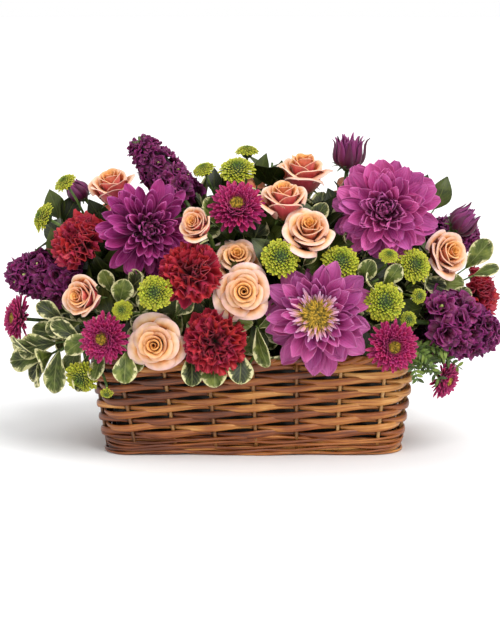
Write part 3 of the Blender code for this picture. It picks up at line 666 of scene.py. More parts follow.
def petalMaterial(name, along, edge, edgeShare, edgePower=10.0, heart=None, heartFrom=0.5, heartShare=1.0,
                  veins=7.0, tones=0.25, sheen=0.1, fleshy=0.12, hues=0.02):
    # Fresh petal: a thin waxy skin over wet flesh. It gives a soft satin shine, light that passes
    # a little way in, fine ribs from root to tip and a paler or darker edge.
    material, tree = newMaterial(name, Roughness=0.48, IOR=1.40, Sheen_Weight=sheen, Sheen_Roughness=0.4,
                                 Subsurface_Weight=fleshy, Subsurface_Scale=0.002,
                                 Subsurface_Radius=(1.0, 0.45, 0.4))
    spot = addNode(tree, "UVMap", uv_map="petal")
    across, onward, _ = addNode(tree, "SeparateXYZ", spot).node.outputs
    tone = addNode(tree, "Attribute", attribute_name="tone", out="Fac")
    place = addNode(tree, "TexCoord", out="Object")
    clouds = addNode(tree, "TexNoise", place, Scale=1000 / cloudGrain, Detail=3.0)
    cloudy = addNode(tree, "Math", clouds, 0.36, -0.18, operation='MULTIPLY_ADD')
    shifted = addNode(tree, "Math", onward, cloudy, operation='ADD')
    body = fillRamp(addNode(tree, "ValToRGB", shifted), along)
    middle = addNode(tree, "Math", across, 2.0, -1.0, operation='MULTIPLY_ADD')
    outward = addNode(tree, "Math", middle, operation='ABSOLUTE')
    sides = addNode(tree, "Math", outward, 3.0, operation='POWER')
    tip = addNode(tree, "Math", onward, edgePower, operation='POWER')
    rim = addNode(tree, "Math", sides, tip, operation='MAXIMUM')
    rimShare = addNode(tree, "Math", rim, edgeShare, operation='MULTIPLY')
    colour = addNode(tree, "Mix", rimShare, body, srgb(edge), data_type='RGBA')
    # petals deep in the flower take the heart colour: for the dahlias, carnations, asters and stocks partly a
    # deeper colour and partly painted shade among the petals, for the roses and poms the inner petals' own
    # colour; on a bud it falls on the outer petals
    if heart:
        depth = addNode(tree, "Attribute", attribute_name="layer", out="Fac")
        heartAndShade = addNode(tree, "MapRange", depth, heartFrom, 1.0, 0.0, heartShare,
                       interpolation_type='SMOOTHSTEP')
        colour = addNode(tree, "Mix", heartAndShade, colour, srgb(heart), data_type='RGBA')
    phase = addNode(tree, "Math", across, veins * 2 * math.pi, 0.0, operation='MULTIPLY_ADD')
    ribs = addNode(tree, "Math", phase, operation='SINE')
    bright = addNode(tree, "Math", ribs, 0.035, 1.0, operation='MULTIPLY_ADD')
    varied = addNode(tree, "Math", tone, tones, -tones / 2, operation='MULTIPLY_ADD')
    value = addNode(tree, "Math", bright, varied, operation='ADD')
    hue = addNode(tree, "Math", tone, hues, 0.5 - hues / 2, operation='MULTIPLY_ADD')
    shadeWith(tree, addNode(tree, "HueSaturation", Hue=hue, Value=value, Color=colour), ribs, Strength=0.3,
              Distance=0.0004)
    return material


def leafMaterial(name, blade, margin, marginWidth, vein, roughness=0.46):
    # Evergreen leaf: a hard waxy cuticle, so small clear highlights; the margin is a band of cream
    # tissue with a ragged inner edge, and the veins are paler and slightly sunk.
    material, tree = newMaterial(name, Roughness=roughness, IOR=1.45, Specular_IOR_Level=0.32,
                                 Coat_Weight=0.06, Coat_Roughness=0.25, Subsurface_Weight=0.06,
                                 Subsurface_Scale=0.0015, Subsurface_Radius=(0.5, 1.0, 0.3))
    spot = addNode(tree, "UVMap", uv_map="petal")
    across, onward, _ = addNode(tree, "SeparateXYZ", spot).node.outputs
    tone = addNode(tree, "Attribute", attribute_name="tone", out="Fac")
    middle = addNode(tree, "Math", across, 2.0, -1.0, operation='MULTIPLY_ADD')
    # streaks that run in from the edge towards a point on the rib
    along = addNode(tree, "Math", onward, 0.45, operation='SUBTRACT')
    around = addNode(tree, "Math", middle, along, operation='ARCTAN2')
    spokes = addNode(tree, "Math", around, 5.0, operation='MULTIPLY')
    apart = addNode(tree, "Math", tone, 50.0, operation='MULTIPLY')
    fan = addNode(tree, "CombineXYZ", spokes, middle, apart)
    jag = addNode(tree, "TexNoise", fan, Scale=1.0, Detail=5.0, Roughness=0.70)
    outward = addNode(tree, "Math", middle, operation='ABSOLUTE')
    fromSide = addNode(tree, "Math", 1.0, outward, operation='SUBTRACT')
    fromTip = addNode(tree, "Math", onward, -2.2, 2.2, operation='MULTIPLY_ADD')
    fromEdge = addNode(tree, "Math", fromSide, fromTip, operation='MINIMUM')
    ragged = addNode(tree, "Math", jag, 1.8, -0.90, operation='MULTIPLY_ADD')
    edge = addNode(tree, "Math", fromEdge, ragged, operation='ADD')
    inside = addNode(tree, "MapRange", edge, marginWidth, marginWidth + 0.07, 0.0, 1.0)
    clouds = addNode(tree, "TexNoise", addNode(tree, "TexCoord", out="Object"), Scale=1000 / 9.0,
                     Detail=3.0)
    shade = addNode(tree, "Math", tone, 0.6, -0.30, operation='MULTIPLY_ADD')
    patch = addNode(tree, "Math", clouds, shade, operation='ADD')
    green = fillRamp(addNode(tree, "ValToRGB", patch), blade)
    cream = fillRamp(addNode(tree, "ValToRGB", clouds), margin)
    fade = addNode(tree, "MapRange", edge, marginWidth, marginWidth + 0.35, 0.6, 0.0)
    greyed = addNode(tree, "Mix", fade, green, srgb(vein), data_type='RGBA')
    colour = addNode(tree, "Mix", inside, cream, greyed, data_type='RGBA')
    rib = addNode(tree, "MapRange", outward, 0.02, 0.07, 0.6, 0.0)
    slant = addNode(tree, "Math", outward, -0.45, 0.0, operation='MULTIPLY_ADD')
    climb = addNode(tree, "Math", onward, slant, operation='ADD')
    turns = addNode(tree, "Math", climb, 7 * 2 * math.pi, operation='MULTIPLY')
    wave = addNode(tree, "Math", turns, operation='SINE')
    fine = addNode(tree, "MapRange", wave, 0.80, 1.0, 0.0, 0.30)
    veins = addNode(tree, "Math", rib, fine, operation='MAXIMUM')
    shadeWith(tree, addNode(tree, "Mix", veins, colour, srgb(vein), data_type='RGBA'), veins, Strength=0.5,
              Distance=0.0006, invert=True)
    return material


def mottledMaterial(name, colours, grain, roughness=0.5, bump=0.3, depth=0.0004, tones=0.2, **values):
    # An uneven natural surface: colours spread over a noise whose grain is given in mm
    material, tree = newMaterial(name, Roughness=roughness, **values)
    noise = addNode(tree, "TexNoise", addNode(tree, "TexCoord", out="Object"), Scale=1000 / grain, Detail=4.0)
    tone = addNode(tree, "Attribute", attribute_name="tone", out="Fac")
    spread = addNode(tree, "Math", tone, tones, -tones / 2, operation='MULTIPLY_ADD')
    total = addNode(tree, "Math", noise, spread, operation='ADD')
    shadeWith(tree, fillRamp(addNode(tree, "ValToRGB", total), colours), noise, Strength=bump, Distance=depth)
    return material


def willowMaterial(name, colours, tones=0.45):
    # Buff willow: boiled and stripped rods with a thin tannin skin. It gives long darker streaks
    # along each rod, one rod lighter than the next, and a low satin sheen on the crowns.
    material, tree = newMaterial(name, Roughness=0.42, IOR=1.50, Coat_Weight=0.12, Coat_Roughness=0.3)
    place = addNode(tree, "TexCoord", out="Object")
    spot = addNode(tree, "UVMap", uv_map="petal")
    tone = addNode(tree, "Attribute", attribute_name="tone", out="Fac")
    # the map runs in metres along a rod; streaks are about 1.2 mm wide and 40 mm long
    drawn = addNode(tree, "Mapping", spot, Scale=(14.0, 25.0, 1.0))
    moved = addNode(tree, "Math", tone, 40.0, operation='MULTIPLY')
    own = addNode(tree, "VectorMath", drawn, addNode(tree, "CombineXYZ", Z=moved), operation='ADD')
    streaks = addNode(tree, "TexNoise", own, Scale=1.0, Detail=5.0, Roughness=0.6)
    clouds = addNode(tree, "TexNoise", place, Scale=1000 / 30.0, Detail=2.0)
    spread = addNode(tree, "Math", tone, tones, -tones / 2, operation='MULTIPLY_ADD')
    base = addNode(tree, "Math", streaks, spread, operation='ADD')
    broad = addNode(tree, "Math", clouds, 0.5, -0.25, operation='MULTIPLY_ADD')
    total = addNode(tree, "Math", base, broad, operation='ADD')
    # the rods turn redder towards the left end and golden towards the right: partly their own colour, partly
    # painted light on the right, where the key lamp falls, and painted shade on the left
    fromLeft = addNode(tree, "SeparateXYZ", place)
    goldenAndPaintedLight = addNode(tree, "MapRange", fromLeft, -0.14, 0.12, -0.05, 0.15)
    shifted = addNode(tree, "Math", total, goldenAndPaintedLight, operation='ADD')
    brown = fillRamp(addNode(tree, "ValToRGB", shifted), colours)
    shadeWith(tree, brown, streaks, Strength=0.5, Distance=0.0005)
    return material


cloudGrain = 7.0                                   # mm, the soft blotches in a petal's colour
roseSkin = {"hues": 0.012, "tones": 0.16, "fleshy": 0.15, "veins": 5.0}
# along: a petal's colour from root to tip; edge: its rim; heart: petals deep in the flower (on a bud its
# outer ones), partly a deeper colour and partly painted shade for the dark flowers, the inner petals' own
# colour for the roses and poms
finishes = {
    "orchid": dict(along=((0.0, "#30041c"), (0.22, "#6c124a"), (0.6, "#a02c78"), (1.0, "#b24890")),
                   edge="#bc6ca8", edgeShare=0.05, heart="#4c0628", heartFrom=0.60, tones=0.35),
    "orchidPink": dict(along=((0.0, "#40062a"), (0.22, "#86205f"), (0.6, "#b43c86"), (1.0, "#c75ea2")),
                       edge="#d586ba", edgeShare=0.07, heart="#6c0844", heartFrom=0.62, tones=0.35),
    "orchidOpen": dict(along=((0.0, "#5a1238"), (0.2, "#8a2260"), (0.6, "#aa3a82"), (1.0, "#be5c9c")),
                       edge="#dca0c8", edgeShare=0.12, tones=0.35),
    "petaloid": dict(along=((0.0, "#8a5c18"), (0.4, "#d0a048"), (0.7, "#d898ac"), (1.0, "#d8a0cc")),
                     edge="#e4c4dc", edgeShare=0.3),
    "bud": dict(along=((0.0, "#8a8438"), (0.18, "#6a3a34"), (0.42, "#601440"), (1.0, "#8a2e70")),
                edge="#a85894", edgeShare=0.5, heart="#4a0c30", heartFrom=0.8, tones=0.4),
    "peach": dict(along=((0.5, "#b04a0c"), (0.72, "#de8838"), (0.85, "#eab070"), (0.94, "#edc7a2"),
                         (1.0, "#eecabc")),
                  edge="#e8c0c0", edgeShare=0.8, edgePower=8.0, heart="#e49c3a", heartFrom=-0.1,
                  heartShare=0.9, **roseSkin),
    "peachBack": dict(along=((0.3, "#b8482a"), (0.6, "#d6694c"), (0.82, "#e28e6a"), (1.0, "#ecb898")),
                      edge="#efcfc4", edgeShare=0.75, heart="#e08c34", heartFrom=0.5, **roseSkin),
    "coral": dict(along=((0.45, "#b04414"), (0.70, "#de7c38"), (0.85, "#e7a468"), (0.94, "#eabc96"),
                         (1.0, "#ebc2ae")),
                  edge="#ecc8bc", edgeShare=0.7, edgePower=9.0, heart="#e3963c", heartFrom=0.0,
                  heartShare=0.9, **roseSkin),
    "coralBack": dict(along=((0.15, "#c06a34"), (0.35, "#c8464a"), (0.66, "#d6525c"), (0.88, "#e07870"),
                             (1.0, "#e8a090")),
                      edge="#efc9b4", edgeShare=0.8, heart="#de8a3c", heartFrom=0.5, heartShare=0.85,
                      **roseSkin),
    "crimson": dict(along=((0.0, "#2c0208"), (0.5, "#640716"), (0.85, "#901026"), (1.0, "#aa1c34")),
                    edge="#bc3c50", edgeShare=0.25, heart="#7c0c20", heartFrom=0.7, veins=9.0),
    "magenta": dict(along=((0.0, "#34041c"), (0.4, "#840e44"), (0.8, "#a8185a"), (1.0, "#c03078")),
                    edge="#cc4c88", edgeShare=0.3, heart="#7c0c3c", heartFrom=0.7, veins=2.0, tones=0.35),
    "lime": dict(along=((0.0, "#34500e"), (0.35, "#758a1c"), (0.7, "#b0b028"), (1.0, "#cecb3a")),
                 edge="#d6d24c", edgeShare=0.3, heart="#5a7c26", heartFrom=0.45, veins=1.0, tones=0.35),
    "burgundy": dict(along=((0.0, "#16030a"), (0.4, "#3a051e"), (0.8, "#5c0c3a"), (1.0, "#842064")),
                     edge="#9c3e8e", edgeShare=0.30, heart="#3a0620", heartFrom=0.8, sheen=0.05, tones=0.5),
}
looks = {name: petalMaterial(f"{name}_petal", **values) for name, values in finishes.items()}
creamLeaf = leafMaterial("variegated_pittosporum_leaf",
                         ((0.25, "#1c230a"), (0.45, "#323c12"), (0.62, "#4c5a1e"), (0.8, "#747e34")),
                         ((0.3, "#e4dcae"), (0.7, "#c8c586")), 0.14, "#858a52")
darkLeaf = leafMaterial("salal_leaf", ((0.25, "#181f08"), (0.5, "#2a330f"), (0.75, "#424c18")),
                        ((0.3, "#2a330f"), (0.7, "#424c18")), -0.6, "#5a6228", roughness=0.42)
leafOf = {"pittosporum": creamLeaf, "salal": darkLeaf}
sprayLeaf = leafMaterial("fine_spray_leaf", ((0.25, "#2c3c18"), (0.5, "#4c6426"), (0.75, "#7a8c3c")),
                         ((0.3, "#4c6426"), (0.7, "#7a8c3c")), -0.6, "#8a9850")
# Fresh cut stem and bracts: smooth green skin with paler ribs, a dull waxy shine
stemGreen = mottledMaterial("fresh_green_stem", ((0.3, "#30441a"), (0.55, "#4d6628"), (0.8, "#76883e")), 4.0,
                            roughness=0.45, tones=0.3, IOR=1.42)
# Unopened florets between the open ones of a button pom: dull green, made dark as painted shade in the gaps
# between them
cushionAndGapShade = mottledMaterial("unopened_florets_and_gap_shade", ((0.3, "#16240a"), (0.55, "#2f4414"), (0.8, "#4d661e")),
                              1.6, roughness=0.7, tones=0.3, bump=0.6)
# Disc florets: pollen over packed tubes, matt and crumbly, olive in the middle
pollenGold = mottledMaterial("pollen_disc", ((0.2, "#4a4210"), (0.45, "#8c741c"), (0.75, "#d0a836")), 3.0,
                             roughness=0.75, tones=0.5, bump=0.6)
# Petals still folded in a floret's eye: pale green going cream
openingEye = mottledMaterial("folded_floret_eye", ((0.3, "#848e3c"), (0.7, "#c4ca80")), 1.0, tones=0.4,
                             IOR=1.40)
print("finishes made:", len(bpy.data.materials))

# Wet floral foam: open phenolic cells, matt, darker where water stands in it
foamGreen = mottledMaterial("wet_floral_foam", ((0.3, "#12351f"), (0.55, "#1d5230"), (0.8, "#2c6a3e")), 1.0,
                            roughness=0.85, bump=0.9, depth=0.001, IOR=1.40)
# Liner: injection-moulded polythene, smooth with a faint milky sheen
linerGreen = mottledMaterial("moulded_polythene_liner", ((0.3, "#0c120d"), (0.7, "#18221a")), 12.0,
                             roughness=0.38, bump=0.15, IOR=1.51)
for node, finish in (("floral_foam", foamGreen), ("plastic_liner", linerGreen)):
    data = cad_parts[node].data
    data.materials.clear()
    data.materials.append(finish)


# Flowers on their stems

kindOf = {
    "dahlia": (addDahlia, "dahlia_petal"), "bud": (addBud, "dahlia_bud"), "rose": (addRose, "rose_petal"),
    "carnation": (addCarnation, "carnation_petal"), "aster": (addAster, "aster_petal"),
    "pom": (addPom, "pom_floret"),
}
# the finish of the petals' faces by kind, of single flowers that differ, and of the backs that differ
lookOf = {"dahlia": "orchid", "bud": "bud", "rose": "peach", "carnation": "crimson", "aster": "magenta",
          "pom": "lime", "stock": "burgundy"}
ownLook = {"dahlia_right": "orchidPink", "dahlia_front": "orchidOpen", "dahlia_back_right": "orchidPink",
           "rose_left": "coral", "rose_small": "coral", "rose_top": "coral", "rose_upper": "coral",
           "rose_top_left": "coral", "spray_rose_back_left": "coral"}
backOf = {"peach": "peachBack", "coral": "coralBack"}
dahliaFormOf = {"dahlia_front": "open", "dahlia_back_right": "open", "dahlia_right": "formal"}
# outer petals stand a little proud of the solid's rounded outline
fullness = {"dahlia": 1.02, "rose": 1.05, "carnation": 1.06, "aster": 1.02, "pom": 1.06, "bud": 1.05}
# how far each rose has opened: 0 a cup with upright petals, 1 full blown
opened = {"rose_centre": 1.0, "rose_front_left": 1.0, "rose_behind": 0.8, "rose_mid_right": 0.5,
          "rose_upper": 0.35, "rose_top": 0.45, "rose_small": 0.15, "rose_left": 0.1, "rose_top_left": 0.2,
          "rose_right": 0.35}
budOpened = {"dahlia_bud_top": 0.85, "dahlia_bud_right": 0.35, "dahlia_bud_left": 0.05}
stockFlorets = 32
stockTaper = {"stock_top": 0.32, "stock_left": 0.32, "stock_right": 0.46}


def growFlowers():
    for number, (name, (kind, blooms)) in enumerate(heads.items()):
        rng = random.Random(100 + number)
        bags = {"petals": newBag(), "green": newBag(), "heart": newBag()}
        grow, slotName = kindOf[kind]
        mainLine = None
        for index, (place, width, azimuth, elevation) in enumerate(blooms):
            way = facing(azimuth, elevation)
            started = {key: len(bag["points"]) for key, bag in bags.items()}
            extra = {"form": dahliaFormOf.get(name, "ball")} if kind == "dahlia" else {}
            if kind == "rose":
                extra = {"openness": opened.get(name, 0.6)}
            if kind == "bud":
                extra = {"openness": budOpened[name]}
            wider = fullness.get(kind, 1.0) + (0.16 * (1 - extra["openness"]) if kind == "rose" else 0.0)
            grow(bags, width * wider, rng, **extra)
            matrix = headMatrix(place, way, rng.uniform(0, 6.28))
            for key, bag in bags.items():
                turnBag(bag, started[key], matrix)
            neck = np.array(place) - way * width / 2 * neckDepth[kind] * 0.9
            if index == 0:
                mainLine = stemLine(neck, way, overTheRim.get(name), entries.get(name))
                tube(bags["green"], mainLine, stemRadius[kind], tone=rng.random())
            else:
                fork = mainLine[len(mainLine) // 2 - index % 2]
                onward = unit(mainLine[len(mainLine) // 2 + 1] - fork)
                span = np.linalg.norm(neck - fork)
                shoot = curve(fork, onward * span, neck, way * span, 8)
                tube(bags["green"], shoot, stemRadius[kind] * 0.8, tone=rng.random())
        face = ownLook.get(name, lookOf[kind])
        sides = [looks[face], looks[backOf.get(face, face)]]
        if dahliaFormOf.get(name) == "open":
            sides += [looks["petaloid"], looks["petaloid"]]
        buildPiece(f"{name}_petals", bags["petals"], sides, [name])
        buildPiece(f"{name}_stem", bags["green"], [stemGreen, stemGreen], [name])
        if bags["heart"]["count"]:
            heart = cushionAndGapShade if kind == "pom" else pollenGold
            buildPiece(f"{name}_heart", bags["heart"], [heart], [name])


def growStocks():
    for number, (name, (low, tip, width)) in enumerate(stocks.items()):
        rng = random.Random(300 + number)
        petals, green = newBag(), newBag()
        low, tip = vec(low), vec(tip)
        way = unit(tip - low)
        length = np.linalg.norm(tip - low)
        line = stemLine(low - way * length * 0.1, way)
        line = np.concatenate([line, [low + way * length * share for share in (0.2, 0.5, 0.8, 1.0)]])
        tube(green, line, 2.6)
        matrix = headMatrix(low, way)[:3, :3]
        # a core down the spike in the petal finish at its darkest tone: painted shade that fills the gaps
        # between the florets
        core = [-0.05, 0.1, 0.5, 0.85, 1.0]
        tube(petals, [low + way * length * share for share in core],
             width * np.array([0.10, 0.27, 0.29, 0.20, 0.06]), sides=12, tone=0.0)
        for i in range(stockFlorets):
            share = (i + 0.5) / stockFlorets
            spread = width / 2 * (1 - stockTaper.get(name, 0.28) * share ** 2)
            angle = i * goldenAngle
            tilt = mixed(-0.20, 0.95, share ** 1.6) + rng.uniform(-0.15, 0.15)
            flat = math.cos(tilt)
            ray = matrix @ vec(math.cos(angle) * flat, math.sin(angle) * flat, math.sin(tilt))
            size = width * mixed(0.60, 0.46, share) * rng.uniform(0.88, 1.12)
            place = low + way * length * share * 0.98 + ray * (spread - size * 0.20) * rng.uniform(0.84, 1.04)
            first = len(petals["points"])
            addStockFloret(petals, size, rng)
            turnBag(petals, first, headMatrix(place, ray, rng.uniform(0, 6.28)))
            tube(green, [low + way * length * share * 0.9, place - ray * size * 0.1], [1.0, 1.6], sides=6)
            if i % 5 == 1:                             # the pale eye of a floret still opening
                tube(green, [place, place + ray * size * 0.10, place + ray * size * 0.17],
                     [size * 0.06, size * 0.055, size * 0.03], tone=rng.random(), slot=1)
        for i in range(9):
            # closed buds among the top florets
            ray = unit(way + 0.8 * (matrix @ vec(math.cos(i * goldenAngle), math.sin(i * goldenAngle), 0.0)))
            place = tip + ray * rng.uniform(2, 8)
            tube(green, [place + ray * high for high in (0, 2, 5, 7)], [1.0, 1.9, 1.6, 0.5], sides=7)
        face = looks[lookOf["stock"]]
        buildPiece(f"{name}_petals", petals, [face, face], [name])
        buildPiece(f"{name}_stem", green, [stemGreen, openingEye], [name])


# Foliage: the sprigs' own leaves grow round the stem, and others are placed one by one

# tip, where the stem passes over the rim, length and width of a leaf, leaves on the stem itself
sprigs = {
    "pittosporum_low_left": ((-218, -76, 96), (-164, -46, 114), 40, 25, 7),
    "pittosporum_front_left": ((-122, -138, 98), (-112, -98, 126), 34, 22, 0),
    "pittosporum_front": ((-14, -142, 86), (4, -100, 112), 34, 22, 0),
    "pittosporum_right": ((124, -112, 184), None, 34, 22, 2),
    "pittosporum_far_right": ((226, -58, 188), None, 36, 22, 0),
    "pittosporum_low_right": ((176, -122, 88), (152, -98, 112), 20, 9, 0),
    "salal_left": ((-206, -22, 222), None, 44, 27, 4),
    "salal_top": ((20, -18, 292), None, 40, 24, 6),
    "pittosporum_back_left": ((-196, 96, 104), (-158, 78, 122), 42, 26, 9),
    "pittosporum_back": ((56, 146, 86), (62, 100, 112), 38, 24, 9),
    "pittosporum_back_right": ((206, 84, 110), (158, 74, 122), 42, 26, 9),
    "salal_back": ((40, 40, 270), None, 42, 25, 9),
}
# root, tip, width, the way the face looks, and roll in degrees
placedLeaves = {
    "pittosporum_front_left": [
        ((-126, -118, 112), (-127, -133, 82), 26, (0, -1, 0.3), 0),
        ((-122, -104, 114), (-114, -122, 92), 20, (0.2, -1, 0.4), 10),
        ((-62, -120, 112), (-60, -135, 80), 24, (0.1, -1, 0.3), -10),
    ],
    "pittosporum_front": [
        ((-38, -118, 108), (-37, -135, 79), 27, (0, -1, 0.4), 12),
        ((-12, -120, 112), (-13, -137, 83), 27, (0, -1, 0.3), -8),
        ((4, -126, 138), (16, -139, 101), 26, (-0.6, -1, 0.3), 25),
    ],
    "pittosporum_low_left": [
        ((-200, -72, 113), (-240, -66, 104), 29, (-0.2, -1, 0.5), 0),
        ((-196, -82, 106), (-200, -94, 64), 26, (0, -1, 0.1), 15),
        ((-172, -90, 118), (-204, -88, 137), 19, (0, -0.7, 1), -30),
        ((-193, -64, 134), (-220, -66, 152), 21, (-0.2, -1, 0.6), 10),
        ((-166, -92, 104), (-176, -108, 70), 22, (0, -1, 0.2), -20),
        ((-150, -100, 106), (-158, -122, 84), 20, (-0.2, -1, 0.4), 20),
        ((-176, -72, 134), (-210, -76, 126), 24, (-0.1, -1, 0.5), -10),
        ((-190, -58, 116), (-226, -60, 124), 24, (-0.3, -1, 0.4), 15),
        ((-160, -92, 126), (-188, -102, 108), 24, (-0.2, -1, 0.4), 0),
        ((-184, -46, 142), (-220, -44, 148), 26, (-0.2, -1, 0.6), 0),
        ((-176, -80, 112), (-184, -92, 84), 24, (-0.3, -1, 0.2), 10),
    ],
    "pittosporum_right": [
        ((50, -104, 197), (63, -113, 211), 11, (0, -1, 0.3), 0),
        ((107, -104, 178), (118, -114, 204), 20, (0, -1, 0.3), 0),
        ((130, -100, 175), (146, -107, 199), 20, (0.2, -1, 0.2), 10),
        ((-76, -118, 149), (-60, -129, 169), 21, (-0.1, -1, 0.3), 0),
        ((-141, -82, 166), (-151, -88, 190), 18, (-0.2, -1, 0.2), 0),
        ((-134, -98, 156), (-127, -110, 184), 24, (0.1, -1, 0.2), 0),
        ((-112, -106, 150), (-104, -118, 168), 16, (0.1, -1, 0.2), 10),
        ((96, -66, 192), (80, -72, 218), 22, (-0.2, -1, 0.3), 0),
        ((-88, -104, 158), (-82, -112, 184), 20, (0, -1, 0.2), -20),
    ],
    "pittosporum_far_right": [
        ((218, -44, 186), (242, -52, 216), 24, (0.1, -1, 0.3), 0),
        ((226, -42, 178), (252, -42, 187), 14, (0.2, -1, 0.5), 0),
        ((170, -60, 176), (196, -66, 166), 22, (0.2, -1, 0.4), 0),
        ((186, -52, 172), (216, -50, 170), 22, (0.3, -1, 0.5), 20),
        ((196, -60, 150), (222, -58, 164), 20, (0.2, -1, 0.6), 0),
    ],
    "salal_left": [
        ((-200, -14, 234), (-211, -8, 264), 23, (-0.1, -1, 0.2), 0),
        ((-196, -14, 230), (-180, -8, 260), 22, (0.1, -1, 0.2), 0),
        ((-160, -40, 210), (-156, -50, 246), 26, (0.1, -1, 0.2), 0),
        ((-150, -34, 226), (-168, -36, 256), 24, (-0.1, -1, 0.2), 0),
        ((-196, -40, 196), (-206, -50, 228), 22, (-0.2, -1, 0.2), 0),
    ],
    "salal_top": [
        ((-40, -22, 262), (-40, -12, 286), 16, (0, -1, 0.2), 0),
        ((4, -14, 268), (14, -6, 301), 18, (-0.2, -1, 0.2), 0),
        ((26, -14, 270), (30, -8, 294), 12, (0, -1, 0.1), 0),
        ((72, -40, 226), (86, -44, 262), 28, (0.1, -1, 0.3), 0),
        ((92, -44, 232), (76, -38, 268), 26, (-0.1, -1, 0.2), 0),
        ((14, -60, 226), (24, -72, 250), 22, (0.1, -1, 0.2), 0),
        ((-34, -58, 232), (-42, -66, 262), 24, (-0.1, -1, 0.2), 0),
        ((150, -52, 196), (166, -60, 224), 24, (0.2, -1, 0.2), 0),
        ((186, -34, 246), (200, -26, 279), 23, (0.1, -1, 0.2), 0),
        ((168, -30, 250), (180, -18, 280), 20, (-0.1, -1, 0.2), 0),
    ],
}


def allHeads():
    # every head as (middle, half width), to keep loose leaves out of the flowers
    found = [(vec(place), width / 2) for _, blooms in heads.values() for place, width, _, _ in blooms]
    for low, tip, width in stocks.values():
        found += [(mixed(vec(low), vec(tip), share), width / 2 * 0.9) for share in (0.1, 0.5, 0.9)]
    return found


def clearOfHeads(root, tip, blooms, reach=0.72):
    for share in (0.35, 0.7, 1.0):
        spot = root + (tip - root) * share
        if any(np.linalg.norm(spot - middle) < half * reach for middle, half in blooms):
            return False
    return True


# thin side shoots at the low right, each set with pairs of leaflets
fineShoots = {"root": (152, -96, 112), "tips": [(174, -114, 90), (188, -110, 80), (200, -94, 98),
                                                (212, -84, 88), (180, -120, 100), (164, -122, 82),
                                                (196, -102, 108)], "pairs": 8,
              "leaflet": (9.0, 3.4)}


def growFineShoots(leaves, stem, rng):
    root = vec(fineShoots["root"])
    length, width = fineShoots["leaflet"]
    for tip in fineShoots["tips"]:
        tip = vec(tip)
        span = np.linalg.norm(tip - root)
        line = curve(root, unit(tip - root + up * 20) * span, tip, unit(tip - root - up * 20) * span, 10)
        tube(stem, line, mixed(0.9, 0.5, np.linspace(0, 1, 11)), sides=5)
        for pair in range(fineShoots["pairs"]):
            spot = line[2 + pair]
            ahead = unit(line[3 + pair] - spot)
            across = unit(np.cross(ahead, (0, -1, 0.4)))
            for hand in (-1, 1):
                drift = vec(0, rng.uniform(-0.4, 0.1), rng.uniform(-0.3, 0.3))
                way = unit(ahead * 0.7 + across * hand + drift)
                addLeaf(leaves, spot, spot + way * length * rng.uniform(0.8, 1.2), width, rng, "fine",
                        rng.uniform(-0.6, 0.6), outward=(0, -1, 0.3))


def growSprigs():
    blooms = allHeads()
    for number, (name, (tip, over, length, width, count)) in enumerate(sprigs.items()):
        rng = random.Random(500 + number)
        kind = name.split("_")[0]
        tip = vec(tip)
        way = unit(tip - vec(over if over else (0, 0, 110)))
        line = stemLine(tip, way, over)
        leaves, stem = newBag(), newBag()
        if count == 0:
            line = line[:-3]                           # its placed leaves hang in front of the end
        tube(stem, line, mixed(1.7, 1.2, np.linspace(0, 1, len(line))))
        grown = 0
        for step in range(count * 4):
            if grown == count:
                break
            share = 0.98 - 0.5 * (step / (count * 4))
            spot = line[int(share * (len(line) - 1))]
            across = unit(np.cross(way, up))
            angle = step * goldenAngle
            out = across * math.cos(angle) + np.cross(way, across) * math.sin(angle)
            leafWay = unit(way * 0.8 + out)
            end = spot + leafWay * length * rng.uniform(0.85, 1.1)
            if not clearOfHeads(spot, end, blooms):
                continue
            addLeaf(leaves, spot, end, width * rng.uniform(0.85, 1.1), rng, kind, rng.uniform(-0.4, 0.4),
                    outward=way + up * 0.3)
            grown += 1
        for root, end, wide, face, roll in placedLeaves.get(name, []):
            addLeaf(leaves, root, end, wide, rng, kind, math.radians(roll), face, bend=rng.uniform(8, 26))
            back = foamEntry(vec(root)) + up * 20
            stalk = curve(back, up * 40, vec(root), unit(vec(end) - root) * 20.0, 6)
            tube(stem, stalk, mixed(1.3, 0.8, np.linspace(0, 1, 7)), sides=6)
        leaf = leafOf[kind]
        if name == "pittosporum_low_right":
            growFineShoots(leaves, stem, rng)
            leaf = sprayLeaf
        buildPiece(f"{name}_leaves", leaves, [leaf, leaf], [name])
        buildPiece(f"{name}_stem", stem, [stemGreen], [name])


filler = {"count": 900, "middle": (0, -6, 128), "reach": (228, 128, 150), "length": (30, 48), "width": 0.62,
          "lowest": 98}


